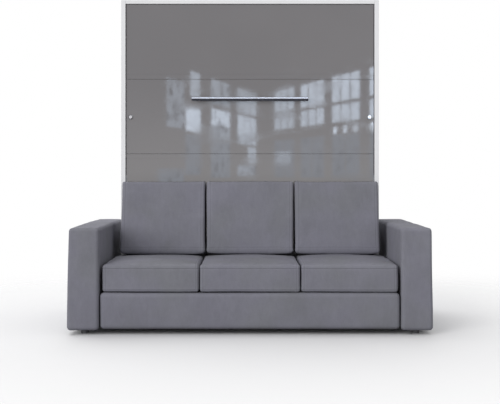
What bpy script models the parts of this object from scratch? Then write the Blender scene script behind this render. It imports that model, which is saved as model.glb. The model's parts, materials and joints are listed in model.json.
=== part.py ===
"""Wall bed with a three-seat sofa in front of it.

The bed stands in a cabinet behind a glossy front.  It tilts forward over the
sofa on two steel pivots, the back cushions fold down onto the seat ahead of
it, two gas springs balance it, and two telescopic legs pull out of the front.

Frame: metres, +Z up, +X to the right as seen from the room, +Y to the wall.
The origin is on the floor, in the middle of the part's width and depth.
"""
import math

import bmesh
import bpy
from mathutils import Vector

for old in list(bpy.data.objects):
    bpy.data.objects.remove(old, do_unlink=True)

# Main sizes
cabinet_depth = 0.46
sofa_reach = 0.80
mattress_length = 2.00
mattress_width = 1.60
mattress_thickness = 0.16

# Clearances
touch_gap = 0.0003
overrun = 0.004

# Cabinet
board = 0.030
top_board = 0.026
edge_bevel = 0.001
back_panel_thickness = 0.004
wall_rail_thickness = 0.018
wall_rail_height = 0.075
plinth_height = 0.115
plinth_thickness = 0.018
plinth_setback = 0.045

# Front of the bed
front_inset = 0.008
front_thickness = 0.018
front_side_gap = 0.0050
front_top_gap = 0.003
front_rise = 0.023
front_board_height = 0.5152
front_board_over_leg = 0.2618
front_joint = 0.0012
front_bevel = 0.0008
front_groove_offset = 0.034
front_groove_width = 0.0012
front_groove_depth = 0.0010
notch_play = 0.003

# Handle on the front
handle_length = 0.803
handle_height = 0.026
handle_depth = 0.013
handle_standoff = 0.030
handle_drop = 0.1378
handle_face = 0.0105
handle_lip = 0.0115
handle_nose = 0.004
handle_post_radius = 0.006
handle_post_inset = 0.09

# Sofa
arm_width = 0.196
arm_side_play = 0.040
arm_height = 0.657
glide_height = 0.028
glide_radius = 0.024
glide_inset = 0.09
glide_bevel = 0.003
base_height = 0.257
base_side_play = 0.005
base_floor_gap = 0.033
base_setback = 0.012
arm_radius = 0.022
arm_crown = 0.0035
base_radius = 0.010
base_crown = 0.005
back_rail_thickness = 0.045
back_rail_height = 0.424
back_rail_bevel = 0.008

# Seat cushions
seat_setback = 0.014
seat_edge_height = 0.430
seat_crown = 0.023
seat_side_draw = -0.002
seat_front_crown = 0.004
seat_radius = 0.016
seat_middle_width = 0.620
seat_gap = 0.004
seat_side_play = 0.018

# Back cushions
back_middle_width = 0.593
back_gap = 0.006
back_row_inset = 0.012
back_length = 0.480
back_thickness = 0.115
back_radius = 0.015
back_front_crown = 0.006
back_rear_crown = 0.004
back_side_draw = -0.002
back_head_crown = -0.002
back_seat_settle = 0.0009
back_lean = math.radians(6.5)
back_play = 0.004
back_rail_play = 0.016

# Bed pivot
pivot_ahead = 0.030
fold_clearance = 0.010
pin_radius = 0.006
pin_play = 0.0004
ear_radius = 0.017
arm_plate = 0.006
arm_plate_foot = 0.045
cabinet_plate = 0.004
cabinet_plate_depth = 0.085
cabinet_plate_height = 0.150
pin_head = 0.002

# Bed frame
rail_thickness = 0.024
rail_height = 0.060
rail_play = 0.0035
slat_bed = 0.029
slat_thickness = 0.008
slat_bow = 0.006
slat_steps = 8
slat_count = 14
slat_width_share = 0.46
slat_end = 0.035
cross_rail_width = 0.040
frame_end_play = 0.012
mattress_top_gap = 0.031
mattress_rise = 0.018
mattress_radius = 0.030
mattress_crown = 0.004
strap_width = 0.050
strap_thickness = 0.002
strap_shares = (0.22, 0.80)

# Gas springs
stud_back = 0.100
stud_drop = 0.055
spring_back = 0.080
spring_rise = 0.400
spring_radius = 0.010
spring_bore = 0.0046
spring_length = 0.245
spring_closed_end = 0.025
spring_cap_bevel = 0.002
spring_room = 0.0222
rod_radius = 0.0040
rod_length = 0.272
eye_radius = 0.0095
eye_hole = 0.0052
eye_width = 0.012
stud_radius = 0.0045
stud_plate = 0.003
stud_plate_size = 0.050
spring_side_play = 0.0015

# Pull-out legs
leg_front_clearance = 0.058
leg_side_inset = 0.0344
leg_wall = 0.0017
leg_play = 0.0003
leg_outer_radius = 0.0140
leg_stages = 3
leg_overlap = 0.0280
leg_floor_play = 0.0015
leg_hole_play = 0.001
sleeve_wall = 0.0022
foot_thickness = 0.010
foot_bevel = 0.003

# How steeply the swell of an upholstered face falls off towards its edges
swell_power = 0.7


def swell_share(share):
    """How much of a face's crown is left at a share of the way from its middle to its edge."""
    return max(0, 1 - share ** 2) ** swell_power


# Worked out from the sizes above
wall_y = (cabinet_depth + sofa_reach) / 2
front_y = wall_y - cabinet_depth
sofa_front_y = front_y - sofa_reach
rail_inner = mattress_width / 2 + rail_play
rail_outer = rail_inner + rail_thickness
arm_plate_x = rail_outer + touch_gap
inner_half = arm_plate_x + arm_plate + spring_room + cabinet_plate
cabinet_width = 2 * (inner_half + board)
mattress_bottom = plinth_height + mattress_rise
mattress_top = mattress_bottom + mattress_length
cabinet_height = mattress_top + mattress_top_gap + top_board
sofa_width = cabinet_width + 2 * (arm_side_play + arm_width)
front_bottom = plinth_height + front_rise
front_half = inner_half - front_side_gap
front_top = cabinet_height - top_board - front_top_gap
front_face_y = front_y + front_inset
front_back_y = front_face_y + front_thickness
arm_inner = sofa_width / 2 - arm_width
seat_top = seat_edge_height + seat_crown
fold_z = seat_top + back_front_crown + back_play
underside_z = fold_z + back_thickness + back_rear_crown + fold_clearance
pivot_y = front_y - pivot_ahead
pivot_z = underside_z - pivot_ahead - front_inset
fold_y = front_y - back_rail_thickness - back_rail_play - back_thickness
back_rail_y = front_y - touch_gap - back_rail_thickness
seat_back_y = back_rail_y - touch_gap
seat_front_y = sofa_front_y + base_setback + seat_setback
seat_half_depth = (seat_back_y - seat_front_y) / 2
back_foot_share = (fold_y + back_thickness / 2 - seat_front_y) / seat_half_depth - 1
seat_under_back = seat_edge_height + seat_crown * swell_share(back_foot_share)
back_foot_drop = fold_z - back_thickness / 2 * math.sin(back_lean) - seat_under_back + back_seat_settle
back_foot_crown = back_foot_drop / math.cos(back_lean)
frame_y = front_back_y + touch_gap
slat_y = front_back_y + slat_bed - slat_thickness
mattress_y = front_back_y + slat_bed + touch_gap
frame_bottom = front_bottom + frame_end_play
frame_top = front_top - frame_end_play
leg_x = cabinet_width / 2 - board - leg_side_inset
leg_z = pivot_z + sofa_reach - pivot_ahead + leg_front_clearance
leg_travel = (pivot_z + pivot_ahead + front_inset - foot_thickness - leg_floor_play) / leg_stages
leg_length = leg_travel + leg_overlap
sleeve_radius = leg_outer_radius + leg_play + sleeve_wall
front_joint_z = leg_z + front_board_over_leg
back_row_width = cabinet_width - 2 * back_row_inset
spring_x = (arm_plate_x + arm_plate + inner_half - cabinet_plate) / 2

# Finishes: base colour, roughness, metallic
WHITE_BOARD = ((0.74, 0.745, 0.76), 0.45, 0.0)
GLOSS_GREY = ((0.155, 0.15, 0.155), 0.12, 0.0)
SOFA_FABRIC = ((0.176, 0.176, 0.206), 0.85, 0.0)
MATTRESS_FABRIC = ((0.78, 0.77, 0.74), 0.90, 0.0)
STRAP_FABRIC = ((0.10, 0.10, 0.11), 0.80, 0.0)
BEECH = ((0.62, 0.44, 0.26), 0.50, 0.0)
FRAME_BOARD = ((0.55, 0.56, 0.57), 0.50, 0.0)
CHROME = ((0.80, 0.81, 0.83), 0.12, 1.0)
BRUSHED_METAL = ((0.55, 0.56, 0.60), 0.30, 1.0)
STEEL = ((0.35, 0.36, 0.38), 0.40, 1.0)
BLACK_STEEL = ((0.03, 0.03, 0.035), 0.35, 0.6)
BLACK_PLASTIC = ((0.03, 0.03, 0.03), 0.55, 0.0)


def finish_object(piece, finish):
    """Give a piece its own Principled material."""
    colour, roughness, metallic = finish
    material = bpy.data.materials.new(piece.name)
    material.use_nodes = True
    shader = material.node_tree.nodes["Principled BSDF"]
    shader.inputs["Base Color"].default_value = (*colour, 1.0)
    shader.inputs["Roughness"].default_value = roughness
    shader.inputs["Metallic"].default_value = metallic
    piece.data.materials.append(material)


def new_object(name, bm, location, finish=None):
    """Make an object of a bmesh whose points are given in the world, with its origin at location."""
    origin = Vector(location)
    bmesh.ops.translate(bm, verts=bm.verts, vec=-origin)
    bmesh.ops.recalc_face_normals(bm, faces=bm.faces)
    mesh = bpy.data.meshes.new(name)
    bm.to_mesh(mesh)
    bm.free()
    piece = bpy.data.objects.new(name, mesh)
    piece.location = origin
    bpy.context.collection.objects.link(piece)
    if finish:
        finish_object(piece, finish)
    return piece


def axis_empty(name, location, turn=0.0):
    """An empty on a joint's axis; turn leans it about X."""
    empty = bpy.data.objects.new(name, None)
    empty.location = location
    empty.rotation_euler = (turn, 0, 0)
    bpy.context.collection.objects.link(empty)
    return empty


def carry(piece, empty):
    """Parent a piece placed in the world to an upright empty, where it is."""
    piece.parent = empty
    piece.location = piece.location - empty.location
    return piece


def add_bevel(piece, width, segments=1):
    """Round the sharp edges of a piece."""
    bevel = piece.modifiers.new("edges", "BEVEL")
    bevel.width = width
    bevel.segments = segments
    bevel.limit_method = "ANGLE"
    return piece


def box(name, low, high, finish=None, bevel=0.0, segments=1):
    """A board or bar between two corners."""
    bm = bmesh.new()
    bmesh.ops.create_cube(bm, size=1.0)
    low, high = Vector(low), Vector(high)
    bmesh.ops.scale(bm, verts=bm.verts, vec=high - low)
    bmesh.ops.translate(bm, verts=bm.verts, vec=(low + high) / 2)
    piece = new_object(name, bm, (low + high) / 2, finish)
    if bevel:
        add_bevel(piece, bevel, segments)
    return piece


def turned(name, profile, start, direction, finish=None, sides=24):
    """A turned piece: profile lists (distance along the axis, radius) round a closed outline or from pole to pole."""
    bm = bmesh.new()
    axis = Vector(direction).normalized()
    across = axis.orthogonal().normalized()
    beside = axis.cross(across)
    rings = []
    for along, radius in profile:
        centre = Vector(start) + axis * along
        if radius <= 0.0:
            rings.append([bm.verts.new(centre)])
            continue
        ring = []
        for step in range(sides):
            angle = 2 * math.pi * step / sides
            ring.append(bm.verts.new(centre + (across * math.cos(angle) + beside * math.sin(angle)) * radius))
        rings.append(ring)
    pairs = list(zip(rings, rings[1:]))
    if len(rings[0]) > 1:
        pairs.append((rings[-1], rings[0]))
    for first, second in pairs:
        for step in range(sides):
            after = (step + 1) % sides
            corners = []
            for ring, index in ((first, step), (first, after), (second, after), (second, step)):
                vertex = ring[index] if len(ring) > 1 else ring[0]
                if vertex not in corners:
                    corners.append(vertex)
            bm.faces.new(corners)
    piece = new_object(name, bm, start, finish)
    piece.data.shade_smooth()
    piece.data.set_sharp_from_angle(angle=math.radians(35.0))
    return piece


def rod_profile(length, radius, bevel=0.0):
    """A solid round bar from pole to pole, with bevelled ends."""
    return [(0, 0), (0, radius - bevel), (bevel, radius), (length - bevel, radius), (length, radius - bevel),
            (length, 0)]


def tube_profile(length, outer, inner):
    """A tube open at both ends."""
    return [(0, inner), (0, outer), (length, outer), (length, inner)]


def plate(name, outline, low_x, high_x, finish=None):
    """A flat plate: an outline of (y, z) points between two places along X."""
    bm = bmesh.new()
    near = [bm.verts.new((low_x, y, z)) for y, z in outline]
    far = [bm.verts.new((high_x, y, z)) for y, z in outline]
    bm.faces.new(near)
    bm.faces.new(list(reversed(far)))
    for index in range(len(outline)):
        after = (index + 1) % len(outline)
        bm.faces.new((near[index], near[after], far[after], far[index]))
    centre = Vector(((low_x + high_x) / 2, outline[0][0], outline[0][1]))
    return new_object(name, bm, centre, finish)


def bowed_plate(name, reach, low_y, thickness, bow, low_z, high_z, finish):
    """A plate across the bed whose middle stands up by its bow, between two heights."""
    bm = bmesh.new()
    outline = []
    for step in range(slat_steps + 1):
        share = 2 * step / slat_steps - 1
        outline.append((share * reach, low_y - bow * share ** 2))
    outline += [(x, y + thickness) for x, y in reversed(outline)]
    near = [bm.verts.new((x, y, low_z)) for x, y in outline]
    far = [bm.verts.new((x, y, high_z)) for x, y in outline]
    bm.faces.new(near)
    bm.faces.new(list(reversed(far)))
    for index in range(len(outline)):
        after = (index + 1) % len(outline)
        bm.faces.new((near[index], near[after], far[after], far[index]))
    return new_object(name, bm, (0, low_y, low_z), finish)


def arc(centre, radius, start, end, steps):
    """Points of an arc, angles in degrees from +Y towards +Z."""
    points = []
    for step in range(steps + 1):
        angle = math.radians(start + (end - start) * step / steps)
        points.append((centre[0] + radius * math.cos(angle), centre[1] + radius * math.sin(angle)))
    return points


def cut(piece, tool, operation="DIFFERENCE"):
    """Cut a piece with a tool, or join the tool to it, and hide the tool."""
    boolean = piece.modifiers.new("cut", "BOOLEAN")
    boolean.operation = operation
    boolean.solver = "EXACT"
    boolean.object = tool
    tool.hide_render = True
    tool.display_type = "WIRE"
    return piece


def lattice(half, radius, inner_steps, round_steps):
    """Places across one side of a block: fine in its rounded edges, even between them."""
    flat = half - radius
    places = []
    for step in range(round_steps):
        places.append(-flat - radius * math.tan(math.pi / 4 * (1 - step / round_steps)))
    for step in range(inner_steps + 1):
        places.append(-flat + 2 * flat * step / inner_steps)
    for step in range(1, round_steps + 1):
        places.append(flat + radius * math.tan(math.pi / 4 * step / round_steps))
    return places


def padded_block(name, centre, size, radius, crowns, finish, inner_steps=(5, 5, 5), round_steps=2):
    """An upholstered block with round edges.

    crowns gives how far each face swells, as (-X, +X, -Y, +Y, -Z, +Z); a
    negative crown draws the face in between its corners.
    """
    half = [side / 2 for side in size]
    places = [lattice(half[axis], radius, inner_steps[axis], round_steps) for axis in range(3)]
    last = [len(row) - 1 for row in places]
    bm = bmesh.new()
    found = {}

    def point(index):
        if index in found:
            return found[index]
        raw = [places[axis][index[axis]] for axis in range(3)]
        core = [max(-(half[axis] - radius), min(half[axis] - radius, raw[axis])) for axis in range(3)]
        outward = Vector([raw[axis] - core[axis] for axis in range(3)]).normalized() * radius
        place = Vector(core) + outward
        shares = [place[axis] / half[axis] for axis in range(3)]
        swell = Vector((0, 0, 0))
        for axis in range(3):
            others = [swell_share(shares[other]) for other in range(3) if other != axis]
            crown = crowns[2 * axis + (1 if shares[axis] > 0 else 0)]
            swell[axis] = crown * shares[axis] * others[0] * others[1]
        found[index] = bm.verts.new(Vector(centre) + place + swell)
        return found[index]

    for axis in range(3):
        first, second = [other for other in range(3) if other != axis]
        for side in (0, last[axis]):
            for row in range(last[first]):
                for column in range(last[second]):
                    corners = []
                    for step_row, step_column in ((0, 0), (1, 0), (1, 1), (0, 1)):
                        index = [0, 0, 0]
                        index[axis] = side
                        index[first] = row + step_row
                        index[second] = column + step_column
                        corners.append(point(tuple(index)))
                    bm.faces.new(corners)
    piece = new_object(name, bm, centre, finish)
    piece.data.shade_smooth()
    return piece


def sides():
    """The two sides of the part: the word used in names, and the sign of X."""
    return (("left", -1), ("right", 1))


def span(sign, inner, outer):
    """Low and high X of something that lies between two distances from the middle."""
    return min(sign * inner, sign * outer), max(sign * inner, sign * outer)


def build_cabinet():
    """White carcass: two sides, top, plinth, back and the rails that are screwed to the wall."""
    for word, sign in sides():
        low, high = span(sign, inner_half, cabinet_width / 2)
        box(f"cabinet_side_{word}", (low, front_y, 0), (high, wall_y, cabinet_height), WHITE_BOARD, edge_bevel)
    reach = inner_half - touch_gap
    box("cabinet_top", (-reach, front_y, cabinet_height - top_board), (reach, wall_y, cabinet_height),
        WHITE_BOARD, edge_bevel)
    plinth_y = front_y + plinth_setback
    box("cabinet_plinth", (-reach, plinth_y, 0), (reach, plinth_y + plinth_thickness, plinth_height),
        WHITE_BOARD, edge_bevel)
    back_top = cabinet_height - top_board - touch_gap
    box("cabinet_back", (-reach, wall_y - back_panel_thickness, 0), (reach, wall_y, back_top), WHITE_BOARD)
    rail_back = wall_y - back_panel_thickness - touch_gap
    rail_front = rail_back - wall_rail_thickness
    box("wall_rail_lower", (-reach, rail_front, 0), (reach, rail_back, wall_rail_height), WHITE_BOARD, edge_bevel)
    box("wall_rail_upper", (-reach, rail_front, back_top - wall_rail_height), (reach, rail_back, back_top),
        WHITE_BOARD, edge_bevel)


def build_pivot_plates():
    """Steel plates inside the cabinet's sides, whose ears carry the pivot pins just ahead of the front."""
    back = front_y + cabinet_plate_depth
    foot = pivot_z - cabinet_plate_height / 2
    head = pivot_z + cabinet_plate_height / 2
    neck = front_y + ear_radius
    outline = [(back, foot), (back, head), (neck, head), (neck, pivot_z + 2 * ear_radius)]
    outline += arc((pivot_y, pivot_z), ear_radius, 90, 270, 10)
    outline += [(neck, pivot_z - 2 * ear_radius), (neck, foot)]
    for word, sign in sides():
        low, high = span(sign, inner_half - touch_gap - cabinet_plate, inner_half - touch_gap)
        piece = plate(f"pivot_plate_{word}", outline, low, high, STEEL)
        pin_inner = arm_plate_x - pin_head
        pin = turned(f"pin_{word}_tool", rod_profile(inner_half - touch_gap - cabinet_plate / 2 - pin_inner, pin_radius),
                     (sign * pin_inner, pivot_y, pivot_z), (sign, 0, 0), sides=20)
        cut(piece, pin, "UNION")


def build_sofa():
    """Upholstered base between two block arms, a low back rail and three seat cushions."""
    arm_bottom = glide_height + touch_gap
    for word, sign in sides():
        arm_x = sign * (arm_inner + arm_width / 2)
        left_crown = 0 if sign > 0 else arm_crown
        right_crown = arm_crown if sign > 0 else 0
        padded_block(f"sofa_arm_{word}", (arm_x, (sofa_front_y + wall_y) / 2, (arm_bottom + arm_height) / 2),
                     (arm_width, wall_y - sofa_front_y, arm_height - arm_bottom), arm_radius,
                     (left_crown, right_crown, 0, 0, 0, arm_crown), SOFA_FABRIC, (2, 4, 3), 3)
        for place, glide_y in (("front", sofa_front_y + glide_inset), ("back", wall_y - glide_inset)):
            profile = rod_profile(glide_height, glide_radius, glide_bevel)
            turned(f"glide_{place}_{word}", profile, (arm_x, glide_y, 0), (0, 0, 1), BLACK_PLASTIC, 20)

    reach = arm_inner - touch_gap
    box("sofa_back_rail", (-reach, back_rail_y, base_floor_gap), (reach, front_y - touch_gap, back_rail_height),
        SOFA_FABRIC, back_rail_bevel, 2)
    base_front = sofa_front_y + base_setback
    base_reach = arm_inner - base_side_play
    padded_block("sofa_base", (0, (base_front + seat_back_y) / 2, (base_floor_gap + base_height) / 2),
                 (2 * base_reach, seat_back_y - base_front, base_height - base_floor_gap), base_radius,
                 (0, 0, base_crown, 0, 0, 0), SOFA_FABRIC, (8, 3, 3))

    seat_bottom = base_height + touch_gap
    middle_edge = seat_middle_width / 2
    outer_edge = arm_inner - seat_side_play
    columns = [("left", -outer_edge, -middle_edge - seat_gap), ("middle", -middle_edge, middle_edge),
               ("right", middle_edge + seat_gap, outer_edge)]
    for word, low, high in columns:
        padded_block(f"seat_cushion_{word}",
                     ((low + high) / 2, (seat_front_y + seat_back_y) / 2, (seat_bottom + seat_edge_height) / 2),
                     (high - low, seat_back_y - seat_front_y, seat_edge_height - seat_bottom), seat_radius,
                     (seat_side_draw, seat_side_draw, seat_front_crown, 0, 0, seat_crown), SOFA_FABRIC, (6, 6, 3))


def build_back_cushions():
    """Three loose back cushions that fold forward onto the seat, each on its front lower edge."""
    middle_edge = back_middle_width / 2
    outer_edge = back_row_width / 2
    columns = [("left", -outer_edge, -middle_edge - back_gap), ("middle", -middle_edge, middle_edge),
               ("right", middle_edge + back_gap, outer_edge)]
    for word, low, high in columns:
        hinge = axis_empty(f"fold_axis_{word}", ((low + high) / 2, fold_y, fold_z), -back_lean)
        piece = padded_block(f"back_cushion_{word}", (0, back_thickness / 2, back_length / 2),
                             (high - low, back_thickness, back_length), back_radius,
                             (back_side_draw, back_side_draw, back_front_crown, back_rear_crown,
                              back_foot_crown, back_head_crown), SOFA_FABRIC, (6, 2, 5))
        piece.parent = hinge


def build_front(bed):
    """Four glossy boards with fine joints, notched for the pivots and drilled for the legs; two have a fine groove."""
    joints = [front_joint_z - index * front_board_height for index in range(3)]
    tops = [front_top] + joints + [front_bottom]
    names = ("front_board_top", "front_board_upper", "front_board_lower", "front_board_bottom")
    for index, name in enumerate(names):
        high = tops[index] - (front_joint if index else 0)
        piece = box(name, (-front_half, front_face_y, tops[index + 1]), (front_half, front_back_y, high), GLOSS_GREY)
        for word, sign in sides():
            notch_low = pivot_z - ear_radius - notch_play
            notch_high = pivot_z + ear_radius + notch_play
            if notch_low < high and notch_high > tops[index + 1]:
                low_x, high_x = span(sign, rail_outer - notch_play, inner_half)
                tool = box(f"notch_{name}_{word}", (low_x, front_face_y - overrun, notch_low),
                           (high_x, front_back_y + overrun, notch_high))
                cut(piece, tool)
            if tops[index + 1] < leg_z < high:
                tool = turned(f"leg_hole_{word}", rod_profile(front_thickness + 2 * overrun,
                                                              leg_outer_radius + leg_hole_play),
                              (sign * leg_x, front_face_y - overrun, leg_z), (0, 1, 0))
                cut(piece, tool)
        add_bevel(piece, front_bevel)
        groove_z = {"front_board_top": joints[0] + front_groove_offset,
                    "front_board_lower": joints[1] - front_groove_offset}.get(name)
        if groove_z is not None:
            reach = front_half + overrun
            tool = box(f"groove_{name}", (-reach, front_face_y - overrun, groove_z - front_groove_width / 2),
                       (reach, front_face_y + front_groove_depth, groove_z + front_groove_width / 2))
            cut(piece, tool)
        carry(piece, bed)


def build_handle(bed):
    """A long bar with a round nose and a slanting grip below it, on two round posts."""
    handle_z = front_joint_z - handle_drop
    post_front = front_face_y - touch_gap - handle_standoff
    bar_back = post_front - touch_gap
    bar_front = bar_back - handle_depth
    half = handle_length / 2
    head = handle_z + handle_height / 2
    foot = handle_z - handle_height / 2
    outline = [(bar_back, foot), (bar_back, head)]
    outline += arc((bar_front + handle_nose, head - handle_nose), handle_nose, 90, 180, 4)
    outline += arc((bar_front + handle_nose, head - handle_face), handle_nose, 180, 225, 2)
    outline += [(bar_front + handle_lip, foot)]
    bar = plate("handle_bar", outline, -half, half, BRUSHED_METAL)
    add_bevel(bar, edge_bevel)
    carry(bar, bed)
    for word, sign in sides():
        post = turned(f"handle_post_{word}", rod_profile(handle_standoff, handle_post_radius, edge_bevel),
                      (sign * (half - handle_post_inset), post_front, handle_z), (0, 1, 0), BRUSHED_METAL, 16)
        carry(post, bed)


def build_bed_frame(bed):
    """Side rails, cross rails, a middle beam and a ladder of slats behind the front."""
    for word, sign in sides():
        low, high = span(sign, rail_inner, rail_outer)
        rail = box(f"bed_rail_{word}", (low, frame_y, frame_bottom), (high, frame_y + rail_height, frame_top),
                   FRAME_BOARD, edge_bevel)
        tool = turned(f"sleeve_hole_{word}", rod_profile(rail_height + 2 * overrun, sleeve_radius + touch_gap),
                      (sign * leg_x, frame_y - overrun, leg_z), (0, 1, 0))
        cut(rail, tool)
        carry(rail, bed)
    reach = rail_inner - touch_gap
    rail_back = slat_y - slat_bow - touch_gap
    ends = (("head", frame_bottom, frame_bottom + cross_rail_width),
            ("foot", frame_top - cross_rail_width, frame_top))
    for word, low, high in ends:
        carry(box(f"bed_rail_{word}", (-reach, frame_y, low), (reach, rail_back, high), FRAME_BOARD, edge_bevel), bed)
    beam_low = frame_bottom + cross_rail_width + touch_gap
    beam_high = frame_top - cross_rail_width - touch_gap
    carry(box("bed_middle_beam", (-cross_rail_width / 2, frame_y, beam_low),
              (cross_rail_width / 2, rail_back, beam_high), FRAME_BOARD, edge_bevel), bed)

    ladder = bowed_plate("slat_ladder", reach, slat_y, slat_thickness, slat_bow, frame_bottom, frame_top, BEECH)
    pitch = (frame_top - frame_bottom) / (slat_count - 1 + slat_width_share)
    bm = bmesh.new()
    for index in range(slat_count - 1):
        low = frame_bottom + pitch * (index + slat_width_share)
        corner_low = Vector((-reach + slat_end, slat_y - slat_bow - overrun, low))
        corner_high = Vector((reach - slat_end, slat_y + slat_thickness + overrun,
                              frame_bottom + pitch * (index + 1)))
        window = bmesh.ops.create_cube(bm, size=1.0)["verts"]
        bmesh.ops.scale(bm, verts=window, vec=corner_high - corner_low)
        bmesh.ops.translate(bm, verts=window, vec=(corner_low + corner_high) / 2)
    cut(ladder, new_object("slat_windows", bm, (0, slat_y, frame_bottom)))
    carry(ladder, bed)


def build_mattress(bed):
    """The mattress and the two straps that hold it when the bed is up."""
    centre_y = mattress_y + mattress_thickness / 2
    mattress = padded_block("mattress", (0, centre_y, (mattress_bottom + mattress_top) / 2),
                            (mattress_width, mattress_thickness, mattress_length), mattress_radius,
                            (0, 0, 0, mattress_crown, 0, 0), MATTRESS_FABRIC, (5, 2, 6))
    carry(mattress, bed)
    inner_x = mattress_width / 2 + touch_gap
    inner_y = mattress_y + mattress_thickness + mattress_crown + touch_gap
    foot_y = frame_y + rail_height + touch_gap
    for word, share in zip(("head", "foot"), strap_shares):
        low = mattress_bottom + mattress_length * share - strap_width / 2
        outer_x = inner_x + strap_thickness
        outer_y = inner_y + strap_thickness
        bm = bmesh.new()
        outer = [(-rail_inner - strap_width / 2, foot_y), (-rail_inner - strap_width / 2, foot_y + strap_thickness),
                 (-outer_x, foot_y + strap_thickness), (-outer_x, outer_y), (outer_x, outer_y),
                 (outer_x, foot_y + strap_thickness), (rail_inner + strap_width / 2, foot_y + strap_thickness),
                 (rail_inner + strap_width / 2, foot_y)]
        inner = [(inner_x, foot_y), (inner_x, inner_y), (-inner_x, inner_y), (-inner_x, foot_y)]
        outline = outer + inner
        near = [bm.verts.new((x, y, low)) for x, y in outline]
        far = [bm.verts.new((x, y, low + strap_width)) for x, y in outline]
        bm.faces.new(near)
        bm.faces.new(list(reversed(far)))
        for index in range(len(outline)):
            after = (index + 1) % len(outline)
            bm.faces.new((near[index], near[after], far[after], far[index]))
        carry(new_object(f"mattress_strap_{word}", bm, (0, inner_y, low), STRAP_FABRIC), bed)


def build_pivot_arms(bed):
    """Steel arms screwed to the bed's side rails; each turns on its pin and holds the gas spring's stud."""
    foot_z = pivot_z - stud_drop - arm_plate_foot
    head_z = pivot_z + arm_plate_foot
    back_y = frame_y + rail_height
    outline = [(back_y, foot_z), (back_y, head_z), (frame_y, head_z), (frame_y, pivot_z + ear_radius)]
    outline += arc((pivot_y, pivot_z), ear_radius, 90, 270, 10)
    outline += [(frame_y, pivot_z - ear_radius), (frame_y, foot_z)]
    for word, sign in sides():
        low, high = span(sign, arm_plate_x, arm_plate_x + arm_plate)
        arm = plate(f"pivot_arm_{word}", outline, low, high, STEEL)
        hole = turned(f"pivot_hole_{word}", rod_profile(arm_plate + 2 * overrun, pin_radius + pin_play),
                      (sign * (arm_plate_x - overrun), pivot_y, pivot_z), (sign, 0, 0), sides=20)
        cut(arm, hole)
        stud_length = spring_x - eye_width / 2 - touch_gap - arm_plate_x
        stud = turned(f"arm_stud_{word}", rod_profile(stud_length, stud_radius),
                      (sign * arm_plate_x, pivot_y + stud_back, pivot_z - stud_drop), (sign, 0, 0), sides=16)
        cut(arm, stud, "UNION")
        carry(arm, bed)


def spring_frame():
    """Where a gas spring turns on the cabinet, its lean about X, and its length at rest."""
    turn_y = pivot_y + spring_back
    turn_z = pivot_z + spring_rise
    reach_y = pivot_y + stud_back - turn_y
    reach_z = pivot_z - stud_drop - turn_z
    return turn_y, turn_z, math.atan2(reach_y, -reach_z), math.hypot(reach_y, reach_z)


def build_gas_springs():
    """Gas springs between the cabinet's sides and the pivot arms, and the studs they turn on."""
    turn_y, turn_z, lean, length = spring_frame()
    for word, sign in sides():
        hinge = axis_empty(f"spring_axis_{word}", (sign * spring_x, turn_y, turn_z), lean)
        slide = axis_empty(f"rod_axis_{word}", (0, 0, 0))
        slide.parent = hinge
        barrel = turned(f"gas_cylinder_{word}",
                        [(0, 0), (0, spring_radius - spring_cap_bevel), (spring_cap_bevel, spring_radius),
                         (spring_length, spring_radius), (spring_length, spring_bore),
                         (spring_closed_end, spring_bore), (spring_closed_end, 0)],
                        (0, 0, 0), (0, 0, -1), BLACK_STEEL, 20)
        eye_cut = turned(f"cylinder_eye_{word}", rod_profile(2 * spring_radius + 2 * overrun, eye_hole),
                         (-spring_radius - overrun, 0, -eye_radius), (1, 0, 0), sides=16)
        for tool in (barrel, eye_cut):
            tool.parent = hinge
        barrel.location = (0, 0, eye_radius)
        eye_cut.location = (-spring_radius - overrun, 0, 0)
        cut(barrel, eye_cut)

        rod = turned(f"gas_rod_{word}", rod_profile(rod_length, rod_radius), (0, 0, -length), (0, 0, 1), CHROME, 16)
        eye = turned(f"rod_eye_{word}", rod_profile(eye_width, eye_radius),
                     (-eye_width / 2, 0, -length), (1, 0, 0), sides=20)
        eye_hole_tool = turned(f"rod_eye_hole_{word}", rod_profile(eye_width + 2 * overrun, eye_hole),
                               (-eye_width / 2 - overrun, 0, -length), (1, 0, 0), sides=16)
        for tool in (rod, eye, eye_hole_tool):
            tool.parent = slide
        cut(rod, eye, "UNION")
        cut(rod, eye_hole_tool)

        low, high = span(sign, inner_half - touch_gap - stud_plate, inner_half - touch_gap)
        half = stud_plate_size / 2
        bracket = box(f"spring_stud_{word}", (low, turn_y - half, turn_z - half), (high, turn_y + half, turn_z + half),
                      STEEL)
        stud_inner = spring_x - eye_width / 2 - spring_side_play
        stud = turned(f"cabinet_stud_{word}",
                      rod_profile(inner_half - touch_gap - stud_plate / 2 - stud_inner, stud_radius),
                      (sign * stud_inner, turn_y, turn_z), (sign, 0, 0), sides=16)
        cut(bracket, stud, "UNION")


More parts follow.
